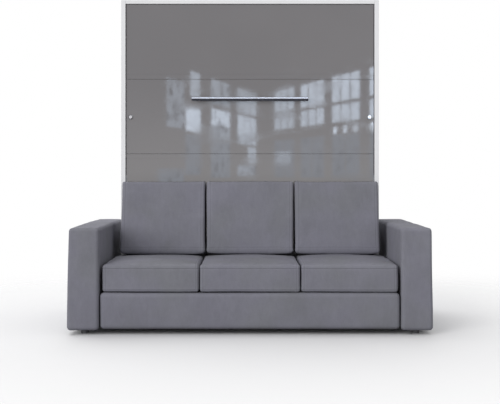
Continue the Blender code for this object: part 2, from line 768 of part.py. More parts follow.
def build_legs(bed):
    """Two telescopic legs that pull out of the front, each in a sleeve beside the mattress."""
    for word, sign in sides():
        start = (sign * leg_x, frame_y, leg_z)
        tube_end = front_face_y + leg_length
        inner = leg_outer_radius + leg_play
        sleeve = turned(f"leg_sleeve_{word}", tube_profile(tube_end - frame_y, sleeve_radius, inner),
                        start, (0, 1, 0), STEEL)
        carry(sleeve, bed)
        radius = leg_outer_radius
        parent = bed
        origin = Vector(bed.location)
        for stage in ("outer", "middle"):
            slide = axis_empty(f"leg_axis_{stage}_{word}", Vector((sign * leg_x, front_face_y, leg_z)) - origin)
            slide.parent = parent
            tube = turned(f"leg_tube_{stage}_{word}", tube_profile(leg_length, radius, radius - leg_wall),
                          (0, 0, 0), (0, 1, 0), CHROME)
            tube.parent = slide
            radius -= leg_wall + leg_play
            parent = slide
            origin = Vector((sign * leg_x, front_face_y, leg_z))
        slide = axis_empty(f"leg_axis_inner_{word}", (0, 0, 0))
        slide.parent = parent
        rod = turned(f"leg_rod_{word}", rod_profile(leg_length, radius), (0, 0, 0), (0, 1, 0), CHROME)
        rod.parent = slide
        foot = turned(f"leg_foot_{word}", rod_profile(foot_thickness - touch_gap, leg_outer_radius, foot_bevel),
                      (0, -foot_thickness, 0), (0, 1, 0), CHROME)
        foot.parent = slide


def main():
    """Build the wall bed and its sofa."""
    build_cabinet()
    build_pivot_plates()
    build_sofa()
    build_back_cushions()
    bed = axis_empty("bed_tilt_axis", (0, pivot_y, pivot_z))
    build_front(bed)
    build_handle(bed)
    build_bed_frame(bed)
    build_mattress(bed)
    build_pivot_arms(bed)
    build_gas_springs()
    build_legs(bed)
    bpy.context.view_layer.update()


main()
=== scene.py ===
"""The looks of a wall bed with a sofa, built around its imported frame.

The bed stands upright in a white cabinet behind a glossy grey front. A sofa with block arms, three
seat cushions and three loose back cushions stands before it. Each upholstered piece is built here
as its own stuffed form with sewn seams. Boards, slats and metal parts keep the frame's shape and
get their finish here. Lengths are in metres, +Z is up, and the wall is towards +Y.
"""

import json
import logging
import math
from collections.abc import Callable
from dataclasses import dataclass, field
from enum import Enum
from typing import ClassVar

import bpy
import numpy as np
from mathutils import Matrix, Vector

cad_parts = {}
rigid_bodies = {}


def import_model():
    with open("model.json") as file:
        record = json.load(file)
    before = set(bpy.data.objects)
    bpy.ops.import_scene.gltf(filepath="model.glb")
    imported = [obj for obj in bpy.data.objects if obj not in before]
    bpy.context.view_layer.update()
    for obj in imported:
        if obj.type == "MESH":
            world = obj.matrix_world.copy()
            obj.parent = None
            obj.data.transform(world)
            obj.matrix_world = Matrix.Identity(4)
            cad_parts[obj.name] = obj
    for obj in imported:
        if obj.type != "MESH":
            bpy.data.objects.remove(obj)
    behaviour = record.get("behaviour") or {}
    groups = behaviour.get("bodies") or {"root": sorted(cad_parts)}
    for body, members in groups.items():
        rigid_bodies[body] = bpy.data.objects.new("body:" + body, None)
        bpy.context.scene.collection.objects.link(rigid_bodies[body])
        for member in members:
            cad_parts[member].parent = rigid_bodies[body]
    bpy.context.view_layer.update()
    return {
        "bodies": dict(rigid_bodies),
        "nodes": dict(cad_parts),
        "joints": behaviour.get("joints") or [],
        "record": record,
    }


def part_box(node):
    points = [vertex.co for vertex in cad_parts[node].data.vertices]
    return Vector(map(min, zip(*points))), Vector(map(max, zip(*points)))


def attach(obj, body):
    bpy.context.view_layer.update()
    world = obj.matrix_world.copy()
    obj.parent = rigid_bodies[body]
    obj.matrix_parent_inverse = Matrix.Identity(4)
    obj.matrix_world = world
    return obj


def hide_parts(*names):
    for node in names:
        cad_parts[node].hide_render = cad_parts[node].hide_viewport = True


LOG = logging.getLogger("wall_bed")
MILLIMETRE = 0.001
FIXED_BODY = "cabinet_and_sofa"
QUILT_PITCH = 0.11
SWELL_POWER = 0.7
SWELL_FRAMES = 20
OTHER_AXES = ((1, 2), (0, 2), (0, 1))
WHITE = (1.0, 1.0, 1.0)
LEAST_LENGTH = 1e-9


class Slot(Enum):
    """The finishes that the pieces of this bed and sofa have."""

    WHITE_BOARD = "white_board"
    GLOSS_FRONT = "gloss_grey_board"
    SOFA_CLOTH = "sofa_fabric"
    TICKING = "mattress_fabric"
    WEBBING = "strap_webbing"
    BEECH = "beech"
    FRAME_BOARD = "frame_board"
    CHROME = "chrome"
    HANDLE_METAL = "brushed_metal"
    ZINC_STEEL = "steel"
    BLACK_STEEL = "black_steel"
    BLACK_PLASTIC = "black_plastic"


class Axis(Enum):
    """The three directions of a block."""

    X = 0
    Y = 1
    Z = 2


class Face(Enum):
    """The six faces of a block, in the order of its crowns."""

    LEFT = 0
    RIGHT = 1
    FRONT = 2
    REAR = 3
    BOTTOM = 4
    TOP = 5

    @property
    def axis(self) -> int:
        """The axis that the face is square to."""
        return self.value // 2

    @property
    def sign(self) -> int:
        """Which way along its axis the face looks."""
        return 1 if self.value % 2 else -1


class Signal:
    """A number that changes over a surface. Python's operators on it add Math nodes.

    Args:
        tree: The node tree that the number belongs to.
        socket: The output socket that carries it.
    """

    def __init__(self, tree: "ShaderTree", socket: bpy.types.NodeSocket) -> None:
        """Wraps one output socket."""
        self.tree = tree
        self.socket = socket

    def maths(self, operation: str, first: "Number", second: "Number" = 0.0) -> "Signal":
        """Adds one Math node.

        Args:
            operation: The node's operation.
            first: Its first number.
            second: Its second number.

        Returns:
            The node's result.
        """
        node = self.tree.node("ShaderNodeMath", {"operation": operation}, {0: first, 1: second})
        return Signal(self.tree, node.outputs[0])

    def __add__(self, other: "Number") -> "Signal":
        """This number and another."""
        return self.maths("ADD", self, other)

    def __radd__(self, other: "Number") -> "Signal":
        """Another number and this one."""
        return self.maths("ADD", other, self)

    def __sub__(self, other: "Number") -> "Signal":
        """This number less another."""
        return self.maths("SUBTRACT", self, other)

    def __rsub__(self, other: "Number") -> "Signal":
        """Another number less this one."""
        return self.maths("SUBTRACT", other, self)

    def __mul__(self, other: "Number") -> "Signal":
        """This number times another."""
        return self.maths("MULTIPLY", self, other)

    def __rmul__(self, other: "Number") -> "Signal":
        """Another number times this one."""
        return self.maths("MULTIPLY", other, self)

    def __truediv__(self, other: "Number") -> "Signal":
        """This number divided by another."""
        return self.maths("DIVIDE", self, other)

    def __rtruediv__(self, other: "Number") -> "Signal":
        """Another number divided by this one."""
        return self.maths("DIVIDE", other, self)

    def __abs__(self) -> "Signal":
        """The number without its sign."""
        return self.maths("ABSOLUTE", self)

    def larger(self, other: "Number") -> "Signal":
        """The larger of this number and another."""
        return self.maths("MAXIMUM", self, other)

    def sine(self) -> "Signal":
        """The sine of this number."""
        return self.maths("SINE", self)

    def ramp(self, low: float, high: float) -> "Signal":
        """A smooth step.

        Args:
            low: Where it is 0.
            high: Where it is 1.

        Returns:
            The step.
        """
        node = self.tree.node("ShaderNodeMapRange", {"interpolation_type": "SMOOTHSTEP", "clamp": True},
                              {"Value": self, "From Min": low, "From Max": high})
        return Signal(self.tree, node.outputs[0])


Number = Signal | float
Colour = tuple[float, float, float]


def rgba(colour: Colour) -> tuple[float, float, float, float]:
    """The colour with its alpha."""
    return (*colour, 1.0)


def placed(name: str, data: bpy.types.ID) -> bpy.types.Object:
    """Makes an object and puts it in the scene.

    Args:
        name: The object's name.
        data: Its mesh, lamp or camera.

    Returns:
        The object.
    """
    made = bpy.data.objects.new(name, data)
    bpy.context.scene.collection.objects.link(made)
    return made


def placed_mesh(name: str, points: list, faces: list) -> bpy.types.Object:
    """Makes a mesh object and puts it in the scene.

    Args:
        name: The object's name.
        points: Its points.
        faces: The points of each face.

    Returns:
        The object.
    """
    mesh = bpy.data.meshes.new(name)
    mesh.from_pydata(points, [], faces)
    return placed(name, mesh)


class ShaderTree:
    """A node tree with a method that makes any node.

    Args:
        tree: The Blender node tree, of a material or of the world.
    """

    def __init__(self, tree: bpy.types.NodeTree) -> None:
        """Wraps the node tree."""
        self.nodes = tree.nodes
        self.links = tree.links

    def node(self, kind: str, settings: dict | None = None, sockets: dict | None = None) -> bpy.types.Node:
        """Adds a node of any type.

        Args:
            kind: The node's type.
            settings: Its settings by name, which are set first; "stops" fills a colour ramp.
            sockets: Values or links of its inputs, by name or number.

        Returns:
            The node.
        """
        node = self.nodes.new(kind)
        for name, value in (settings or {}).items():
            if name == "stops":
                self._fill_ramp(node.color_ramp, value)
            else:
                setattr(node, name, value)
        for key, value in (sockets or {}).items():
            self.feed(node.inputs[key], value)
        return node

    def _fill_ramp(self, ramp: bpy.types.ColorRamp, stops: list[tuple[float, Colour]]) -> None:
        """Gives a colour ramp its stops.

        Args:
            ramp: The ramp.
            stops: The place and colour of each stop.
        """
        while len(ramp.elements) < len(stops):
            ramp.elements.new(1.0)
        for element, (place, colour) in zip(ramp.elements, stops):
            element.position = place
            element.color = rgba(colour)

    def feed(self, socket: bpy.types.NodeSocket, value: object) -> None:
        """Links an output to a socket, or sets the socket's plain value.

        Args:
            socket: The input socket.
            value: The output, or the plain value.
        """
        if isinstance(value, Signal):
            value = value.socket
        if isinstance(value, bpy.types.NodeSocket):
            self.links.new(value, socket)
        else:
            socket.default_value = value

    def place(self) -> bpy.types.NodeSocket:
        """Places on the object, in metres."""
        return self.node("ShaderNodeTexCoord").outputs["Object"]

    def stretched(self, scales: tuple[float, float, float]) -> bpy.types.NodeSocket:
        """Places on the object, times a scale along each axis."""
        node = self.node("ShaderNodeVectorMath", {"operation": "MULTIPLY"}, {0: self.place(), 1: scales})
        return node.outputs[0]

    def axis(self, axis: Axis) -> Signal:
        """Places along one axis of the object."""
        node = self.node("ShaderNodeSeparateXYZ", None, {0: self.place()})
        return Signal(self, node.outputs[axis.value])

    def noise(self, scales: tuple[float, float, float] | float, detail: float = 2.0,
              roughness: float = 0.5, warp: float = 0.0) -> Signal:
        """A noise from 0 to 1.

        Args:
            scales: Bumps per metre, one number or one along each axis.
            detail: Octaves of finer noise.
            roughness: How strong the finer octaves are.
            warp: How far the noise is distorted by itself.

        Returns:
            The noise.
        """
        if isinstance(scales, (int, float)):
            scales = (scales, scales, scales)
        node = self.node("ShaderNodeTexNoise", None,
                         {"Vector": self.stretched(scales), "Scale": 1.0, "Detail": detail,
                          "Roughness": roughness, "Distortion": warp})
        return Signal(self, node.outputs[0])

    def painted(self, attribute: str) -> Signal:
        """A number kept on the mesh's points."""
        node = self.node("ShaderNodeAttribute", {"attribute_name": attribute})
        return Signal(self, node.outputs["Fac"])

    def mix(self, factor: Number, first: object, second: object) -> bpy.types.NodeSocket:
        """A colour between two others.

        Args:
            factor: 0 for the first colour, 1 for the second.
            first: The first colour, or the socket that carries it.
            second: The second.

        Returns:
            The socket that carries the mixed colour.
        """
        first = rgba(first) if isinstance(first, tuple) else first
        second = rgba(second) if isinstance(second, tuple) else second
        node = self.node("ShaderNodeMix", {"data_type": "RGBA"}, {0: factor, 6: first, 7: second})
        return node.outputs[2]

    def scaled(self, colour: object, factor: Number) -> bpy.types.NodeSocket:
        """A colour made darker or lighter by a number that changes over the surface."""
        node = self.node("ShaderNodeVectorMath", {"operation": "SCALE"}, {0: colour, "Scale": factor})
        return node.outputs[0]

    def ramp(self, factor: Number, stops: list[tuple[float, Colour]]) -> bpy.types.NodeSocket:
        """A colour read from a ramp."""
        return self.node("ShaderNodeValToRGB", {"stops": stops}, {0: factor}).outputs[0]

    def bump(self, height: Signal, depth: float, strength: float = 1.0) -> bpy.types.NodeSocket:
        """A normal from a height that runs from 0 to 1 over a depth in metres."""
        node = self.node("ShaderNodeBump", None, {"Height": height, "Distance": depth, "Strength": strength})
        return node.outputs[0]

    def rays(self, *kinds: str) -> Signal:
        """Tells some kinds of rays from all others.

        Args:
            *kinds: The kinds, such as Camera or Glossy.

        Returns:
            1 on rays of these kinds, 0 on others.
        """
        outputs = self.node("ShaderNodeLightPath").outputs
        shown, *others = [Signal(self, outputs[f"Is {kind} Ray"]) for kind in kinds]
        for other in others:
            shown = shown.larger(other)
        return shown

    def blend(self, factor: Signal, first: bpy.types.Node, second: bpy.types.Node) -> bpy.types.Node:
        """A shader between two others."""
        return self.node("ShaderNodeMixShader", None, {0: factor, 1: first.outputs[0], 2: second.outputs[0]})

    def dress(self, values: dict[str, object]) -> None:
        """Feeds inputs of the material's own shader."""
        for name, value in values.items():
            self.feed(self.nodes["Principled BSDF"].inputs[name], value)

    def surface(self, shader: bpy.types.Node) -> None:
        """Shows a shader on the material's surface."""
        self.feed(self.nodes["Material Output"].inputs["Surface"], shader.outputs[0])

    def shine(self, colour: object, strength: Signal) -> None:
        """Lets the surface shine in a colour times a strength that changes over it."""
        self.surface(self.node("ShaderNodeEmission", None, {"Color": self.scaled(colour, strength)}))


def shaded(colour: Colour, share: float) -> Colour:
    """The colour made darker or lighter by a share of itself."""
    return tuple(channel * share for channel in colour)


def new_material(name: str) -> tuple[bpy.types.Material, ShaderTree]:
    """Makes a material with nodes.

    Args:
        name: Its name.

    Returns:
        The material and its tree.
    """
    material = bpy.data.materials.new(name)
    material.use_nodes = True
    return material, ShaderTree(material.node_tree)


@dataclass(frozen=True)
class Finish:
    """What a surface is made of.

    Attributes:
        colour: Its base colour, linear.
        roughness: Its mean roughness.
        metallic: 1 on metal.
    """

    colour: Colour
    roughness: float
    metallic: float = 0.0

    def material(self, name: str) -> bpy.types.Material:
        """Makes the material and dresses it.

        Args:
            name: The material's name.

        Returns:
            The material.
        """
        material, tree = new_material(name)
        tree.dress({"Base Color": rgba(self.colour), "Roughness": self.roughness, "Metallic": self.metallic})
        tree.dress(self.inputs(tree))
        return material

    def inputs(self, tree: ShaderTree) -> dict[str, object]:
        """Works out what changes over the surface.

        Args:
            tree: The material's tree.

        Returns:
            What each input of the shader gets.
        """
        raise NotImplementedError


@dataclass(frozen=True)
class SofaCloth(Finish):
    """Flat-woven upholstery cloth with a soft nap.

    Attributes:
        thread_pitch: From one thread to the next.
        thread_slub: How long a thicker stretch of thread is.
        relief: How far the threads stand out.
        fleck: How much lighter and darker single threads are.
        crease: How deep the soft creases are that sitting leaves.
        worn: Its colour where the nap is worn greyer.
        nap_roughness: Its roughness between the threads.
        thread_polish: How much less rough the threads are.
        clouding: How much the tone of wide patches changes.
        brushing: How much the tone of brushed streaks changes.
        dip_shade: How much darker a seam's dip is painted, as shade in the groove.
        lip_highlight: How much lighter the lips beside it are painted, as a highlight on their ridges.
    """

    thread_pitch: float = 0.0016
    thread_slub: float = 0.030
    relief: float = 0.0006
    fleck: float = 0.16
    crease: float = 0.0032
    worn: Colour = (0.176, 0.178, 0.200)
    nap_roughness: float = 0.95
    thread_polish: float = 0.18
    clouding: float = 0.30
    brushing: float = 0.20
    dip_shade: float = 0.14
    lip_highlight: float = 0.09

    def inputs(self, tree: ShaderTree) -> dict[str, object]:
        """Threads both ways, clouds in the nap, painted shade in the seams' dips and a painted highlight on
        their lips.

        Args:
            tree: The material's tree.

        Returns:
            What each input of the shader gets.
        """
        along = 1 / self.thread_slub
        across = 1 / self.thread_pitch
        threads = None
        for axis in Axis:
            scales = tuple(along if other is axis else across for other in Axis)
            run = tree.noise(scales, detail=1.0)
            threads = run if threads is None else threads + run
        threads = threads / len(Axis)
        cloud = tree.noise(5.0, detail=3.0, roughness=0.55)
        brushed = tree.noise((30.0, 30.0, 13.0), detail=3.0, roughness=0.6, warp=0.9)
        tone = threads * self.fleck * 2 + cloud * self.clouding + brushed * self.brushing
        tone = tone + (1 - self.fleck - (self.clouding + self.brushing) / 2)
        # Painted shade darkens each seam's dip, and a painted highlight lightens the lips beside it.
        tone = tone * (1 - tree.painted("seam_dip") * self.dip_shade)
        tone = tone * (1 + tree.painted("seam_lip") * self.lip_highlight)
        nap = tree.noise(3.2, detail=3.0).ramp(0.35, 0.7)
        hue = tree.mix(nap, self.colour, self.worn)
        crease = tree.noise((19.0, 19.0, 8.0), detail=2.0, warp=0.8)
        height = threads + crease * (self.crease / self.relief)
        return {"Base Color": tree.scaled(hue, tone),
                "Roughness": self.nap_roughness - threads * self.thread_polish,
                "Normal": tree.bump(height, self.relief, 0.55), "Sheen Weight": 0.03,
                "Sheen Roughness": 0.45, "Specular IOR Level": 0.12}


@dataclass(frozen=True)
class GlossLacquer(Finish):
    """A polished lacquer on board, with the faint waviness that bends what it mirrors.

    Attributes:
        ripple: How deep its long ripples are.
        peel: How deep its orange peel is.
        wiped_roughness: How much rougher wiped patches are.
    """

    ripple: float = 0.00006
    peel: float = 0.0000012
    wiped_roughness: float = 0.04

    def inputs(self, tree: ShaderTree) -> dict[str, object]:
        """Long ripples, fine orange peel, and wiped patches that are less bright.

        Args:
            tree: The material's tree.

        Returns:
            What each input of the shader gets.
        """
        wave = tree.noise((2.6, 2.6, 1.7), detail=1.0)
        peel = tree.noise(170.0, detail=1.0)
        wiped = tree.noise((3.5, 3.5, 9.0), detail=4.0, warp=1.2)
        cloud = tree.noise(1.4, detail=2.0)
        tone = tree.mix(cloud.ramp(0.3, 0.7), shaded(self.colour, 0.97), shaded(self.colour, 1.03))
        rough = self.roughness + wiped.ramp(0.45, 0.75) * self.wiped_roughness
        return {"Base Color": tone, "Roughness": rough,
                "Normal": tree.bump(wave + peel * (self.peel / self.ripple), self.ripple)}


@dataclass(frozen=True)
class Melamine(Finish):
    """Satin melamine on board, with its fine pearl grain.

    Attributes:
        grain: How deep the pearl grain is.
    """

    grain: float = 0.00005

    def inputs(self, tree: ShaderTree) -> dict[str, object]:
        """Pearl grain and faint handling marks.

        Args:
            tree: The material's tree.

        Returns:
            What each input of the shader gets.
        """
        pearl = tree.noise(1300.0, detail=2.0)
        marks = tree.noise((4.0, 4.0, 2.0), detail=4.0, warp=0.8)
        return {"Base Color": tree.mix(marks.ramp(0.35, 0.8), self.colour, shaded(self.colour, 0.97)),
                "Roughness": self.roughness - 0.06 + marks * 0.12,
                "Normal": tree.bump(pearl, self.grain, 0.6)}


@dataclass(frozen=True)
class Metal(Finish):
    """Metal that is ground along one axis, or polished where the streaks are weak.

    Attributes:
        grain: The axis that the grinding runs along.
        streak: How strongly the grinding shows.
        relief: How deep it is.
        tone_change: How much the streaks' tone changes.
        gloss_change: How much their roughness changes.
        smudge_roughness: How much rougher smudges are.
    """

    grain: Axis = Axis.X
    streak: float = 1.0
    relief: float = 0.00002
    tone_change: float = 0.22
    gloss_change: float = 0.16
    smudge_roughness: float = 0.06

    def inputs(self, tree: ShaderTree) -> dict[str, object]:
        """Streaks along the grain, and smudges.

        Args:
            tree: The material's tree.

        Returns:
            What each input of the shader gets.
        """
        scales = tuple(9.0 if axis is self.grain else 1500.0 for axis in Axis)
        streaks = tree.noise(scales, detail=2.0)
        smudge = tree.noise(22.0, detail=3.0, warp=0.5)
        tone = 1 + (streaks - 0.5) * self.tone_change * self.streak
        rough = self.roughness + (streaks - 0.5) * self.gloss_change * self.streak
        rough = rough + smudge.ramp(0.5, 0.8) * self.smudge_roughness
        return {"Base Color": tree.scaled(self.colour, tone), "Roughness": rough,
                "Normal": tree.bump(streaks, self.relief, self.streak)}


@dataclass(frozen=True)
class ZincPlate(Finish):
    """Zinc-plated steel with its pale bloom.

    Attributes:
        relief: How deep the plating's fine texture is.
    """

    relief: float = 0.00002

    def inputs(self, tree: ShaderTree) -> dict[str, object]:
        """A bloom of dull patches over bright metal.

        Args:
            tree: The material's tree.

        Returns:
            What each input of the shader gets.
        """
        bloom = tree.noise(60.0, detail=4.0, roughness=0.6, warp=0.7)
        fine = tree.noise(900.0, detail=1.0)
        return {"Base Color": tree.mix(bloom.ramp(0.35, 0.7), self.colour, shaded(self.colour, 1.45)),
                "Roughness": self.roughness - 0.08 + bloom * 0.22,
                "Normal": tree.bump(fine, self.relief, 0.5)}


@dataclass(frozen=True)
class Moulded(Finish):
    """Moulded plastic or baked paint with a fine texture.

    Attributes:
        bumps: Bumps of the texture per metre.
        relief: How far they stand out.
    """

    bumps: float = 700.0
    relief: float = 0.00006

    def inputs(self, tree: ShaderTree) -> dict[str, object]:
        """Fine texture, and dust that lies a little paler.

        Args:
            tree: The material's tree.

        Returns:
            What each input of the shader gets.
        """
        texture = tree.noise(self.bumps, detail=2.0)
        dust = tree.noise(18.0, detail=4.0, warp=0.6)
        dusty = tuple(channel + 0.02 for channel in self.colour)
        return {"Base Color": tree.mix(dust.ramp(0.45, 0.8) * 0.6, self.colour, dusty),
                "Roughness": self.roughness + (texture - 0.5) * 0.12,
                "Normal": tree.bump(texture, self.relief, 0.7)}


@dataclass(frozen=True)
class BeechVeneer(Finish):
    """Clear-lacquered beech laths whose grain runs across the bed.

    Attributes:
        relief: How deep the grain is.
    """

    relief: float = 0.00012

    def inputs(self, tree: ShaderTree) -> dict[str, object]:
        """Long grain, the short flecks that mark beech, and a tone that drifts from lath to lath.

        Args:
            tree: The material's tree.

        Returns:
            What each input of the shader gets.
        """
        grain = tree.noise((3.5, 60.0, 90.0), detail=4.0, roughness=0.6, warp=0.8)
        flecks = tree.noise((130.0, 900.0, 900.0), detail=1.0).ramp(0.62, 0.72)
        drift = tree.noise((0.4, 0.4, 7.0), detail=0.0)
        stops = [(0.25, shaded(self.colour, 0.72)), (0.5, self.colour), (0.8, shaded(self.colour, 1.2))]
        tone = tree.ramp(grain * 0.65 + drift * 0.35, stops)
        return {"Base Color": tree.mix(flecks * 0.55, tone, shaded(self.colour, 0.5)),
                "Roughness": self.roughness - 0.1 + grain * 0.22,
                "Normal": tree.bump(grain + flecks * 0.5, self.relief, 0.7)}


@dataclass(frozen=True)
class Ticking(Finish):
    """Knitted off-white mattress cloth, with stitches along its quilting.

    Attributes:
        stitch: The width of a line of stitches.
        line_rise: What turns the stitches' width into a share of the trough they lie in, per metre.
        relief: How deep the stitches draw the cloth in.
    """

    stitch: float = 0.0022
    line_rise: float = 22.0
    relief: float = 0.0008

    def inputs(self, tree: ShaderTree) -> dict[str, object]:
        """Fine knit, and stitched lines crossing both ways on the sleeping side.

        Args:
            tree: The material's tree.

        Returns:
            What each input of the shader gets.
        """
        knit = tree.noise((900.0, 900.0, 380.0), detail=1.0)
        across = tree.axis(Axis.X)
        along = tree.axis(Axis.Z)
        lines = None
        for way in (across + along, across - along):
            trough = 1 - abs((way * (math.pi / QUILT_PITCH)).sine())
            line = trough.ramp(1 - self.stitch * self.line_rise, 1.0)
            lines = line if lines is None else lines.larger(line)
        lines = lines * tree.painted("quilted")
        cloud = tree.noise(6.0, detail=3.0)
        tone = tree.mix(cloud.ramp(0.3, 0.7), shaded(self.colour, 0.96), self.colour)
        return {"Base Color": tree.mix(lines * 0.7, tone, shaded(self.colour, 0.72)),
                "Roughness": self.roughness - 0.05 + knit * 0.1,
                "Normal": tree.bump(knit * 0.25 - lines, self.relief, 0.6), "Sheen Weight": 0.15}


@dataclass(frozen=True)
class Webbing(Finish):
    """Dark woven webbing with ribs along its run.

    Attributes:
        rib: From one rib to the next.
        relief: How far the ribs stand out.
    """

    rib: float = 0.0025
    relief: float = 0.0005

    def inputs(self, tree: ShaderTree) -> dict[str, object]:
        """Ribs, the weft between them, and worn fibres.

        Args:
            tree: The material's tree.

        Returns:
            What each input of the shader gets.
        """
        ribs = abs((tree.axis(Axis.Z) * (math.pi / self.rib)).sine())
        weft = abs((tree.axis(Axis.X) * (math.pi / self.rib)).sine())
        worn = tree.noise(45.0, detail=3.0)
        weave = ribs * 0.7 + weft * 0.3
        tone = tree.mix(worn.ramp(0.4, 0.8) * weave, shaded(self.colour, 0.8), shaded(self.colour, 1.8))
        return {"Base Color": tone, "Roughness": self.roughness - 0.05 + weft * 0.1,
                "Normal": tree.bump(weave, self.relief, 0.8)}


FINISHES: dict[Slot, Finish] = {
    Slot.WHITE_BOARD: Melamine((0.66, 0.662, 0.678), 0.42),
    Slot.GLOSS_FRONT: GlossLacquer((0.152, 0.147, 0.153), 0.030),
    Slot.SOFA_CLOTH: SofaCloth((0.184, 0.183, 0.218), 0.88),
    Slot.TICKING: Ticking((0.78, 0.77, 0.74), 0.90),
    Slot.WEBBING: Webbing((0.08, 0.08, 0.09), 0.80),
    Slot.BEECH: BeechVeneer((0.62, 0.44, 0.26), 0.45),
    Slot.FRAME_BOARD: Melamine((0.55, 0.56, 0.57), 0.50),
    Slot.CHROME: Metal((0.36, 0.365, 0.38), 0.08, 1.0, Axis.Y, 0.15),
    Slot.HANDLE_METAL: Metal((0.29, 0.30, 0.33), 0.24, 1.0, Axis.X, 0.8),
    Slot.ZINC_STEEL: ZincPlate((0.35, 0.36, 0.38), 0.36, 1.0),
    Slot.BLACK_STEEL: Moulded((0.022, 0.022, 0.026), 0.32, 0.0, 380.0, 0.00003),
    Slot.BLACK_PLASTIC: Moulded((0.065, 0.066, 0.072), 0.60),
}


class Workshop:
    """Keeps the materials, and attaches finished pieces to the frame."""

    def __init__(self, frame: dict) -> None:
        """Makes one material for each finish.
        """
        self.frame = frame
        self.materials = {slot: finish.material(slot.value) for slot, finish in FINISHES.items()}

    def piece(self, name: str, points: np.ndarray, faces: np.ndarray | list, slot: Slot,
              smooth: bool = True) -> bpy.types.Object:
        """Makes a mesh object in the frame's own coordinates.

        Args:
            name: The piece's name.
            points: Its points.
            faces: The points of each face.
            slot: Its finish.
            smooth: Whether it is shaded smooth.

        Returns:
            The object, in the scene.
        """
        made = placed_mesh(name, points.tolist(), [list(map(int, face)) for face in faces])
        if smooth:
            made.data.shade_smooth()
        made.data.materials.append(self.materials[slot])
        return made

    def attach(self, made: bpy.types.Object, body: str, *nodes: str) -> None:
        """Lets a piece ride on a body, in place of the nodes named.

        Args:
            made: The piece.
            body: The body it moves with.
            *nodes: The frame's nodes that it stands for.
        """
        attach(made, body)
        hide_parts(*nodes)
        count = len(made.data.polygons)
        LOG.info("%s: %d faces, rides on %s, stands for %s", made.name, count, body, ", ".join(nodes))

    def finish_nodes(self) -> None:
        """Gives every node of the frame the material of its slot."""
        slots = {part["node"]: Slot(part["material_slot"]) for part in self.frame["record"]["subparts"]}
        for name, node in self.frame["nodes"].items():
            node.data.materials.clear()
            node.data.materials.append(self.materials[slots[name]])
            LOG.info("%s: the frame's own shape, in %s", name, slots[name].value)


def box_lattice(places: list[np.ndarray]) -> tuple[np.ndarray, np.ndarray]:
    """The outside of a box lattice.

    Args:
        places: Places along each of the three axes.

    Returns:
        The lattice index of each point, and the four points of each face.
    """
    counts = [len(row) for row in places]
    quads = []
    for axis in range(3):
        first, second = OTHER_AXES[axis]
        steps = [np.arange(counts[other] - 1) for other in (first, second)]
        rows, columns = np.meshgrid(*steps, indexing="ij")
        for side in (0, counts[axis] - 1):
            corners = []
            for step_row, step_column in ((0, 0), (1, 0), (1, 1), (0, 1)):
                index = np.zeros(rows.shape + (3,), int)
                index[..., axis] = side
                index[..., first] = rows + step_row
                index[..., second] = columns + step_column
                corners.append(index.reshape(-1, 3))
            quad = np.stack(corners, 1)
            outward = (side > 0) == (axis != 1)
            quads.append(quad if outward else quad[:, ::-1])
    quads = np.concatenate(quads)
    keys = (quads[..., 0] * counts[1] + quads[..., 1]) * counts[2] + quads[..., 2]
    found, faces = np.unique(keys, return_inverse=True)
    rest, last = np.divmod(found, counts[2])
    return np.stack([*np.divmod(rest, counts[1]), last], 1), faces.reshape(-1, 4)


def lattice_points(places: list[np.ndarray], index: np.ndarray) -> np.ndarray:
    """The place of each lattice point."""
    return np.stack([places[axis][index[:, axis]] for axis in range(3)], 1)


def swell_share(share: np.ndarray, power: float = 2.0) -> np.ndarray:
    """How much of a face's crown is left at a share of the way from its middle to its edge.

    Args:
        share: The share of the way.
        power: 2 for a dome, more for a face that is full up to its edges.

    Returns:
        The share of the crown.
    """
    return np.maximum(0.0, 1.0 - np.abs(share) ** power) ** SWELL_POWER


@dataclass(frozen=True)
class Seam:
    """A sewn line that runs round a block, beside one of its faces.

    Attributes:
        face: The face whose panel the seam closes.
        inset: How far it lies from that face.
        depth: How far the thread draws the cloth in.
        width: Half the width of the dip.
        lip_share: How far the cloth rises beside the dip, as a share of its depth.
        lip_widths: How far off it rises most, in widths.
        line_widths: Where lattice lines run beside the seam, in widths.
        clear_widths: How far off the lattice's own lines stay, in widths.
    """

    face: Face
    inset: float
    depth: float = 0.0016
    width: float = 0.0026
    lip_share: ClassVar[float] = 0.42
    lip_widths: ClassVar[float] = 2.1
    line_widths: ClassVar[tuple[float, ...]] = (-3.2, -2.0, -1.0, -0.4, 0.4, 1.0, 2.0, 3.2)
    clear_widths: ClassVar[float] = 4.0

    @classmethod
    def stitched(cls, face: Face, inset: float) -> "Seam":
        """A top-stitched line, shallower and narrower than a sewn joint."""
        return cls(face, inset, depth=0.0010, width=0.0022)

    def middle(self, size: Vector) -> float:
        """Where it runs along its face's axis, from the middle of a block of that size."""
        return self.face.sign * (size[self.face.axis] / 2 - self.inset)

    def dip(self, away: np.ndarray) -> np.ndarray:
        """How much of the dip there is at a distance from the seam."""
        return np.exp(-(away / self.width) ** 2)

    def lip(self, away: np.ndarray) -> np.ndarray:
        """How much of the rise beside the dip there is at a distance from the seam."""
        return np.exp(-((np.abs(away) - self.lip_widths * self.width) / self.width) ** 2)


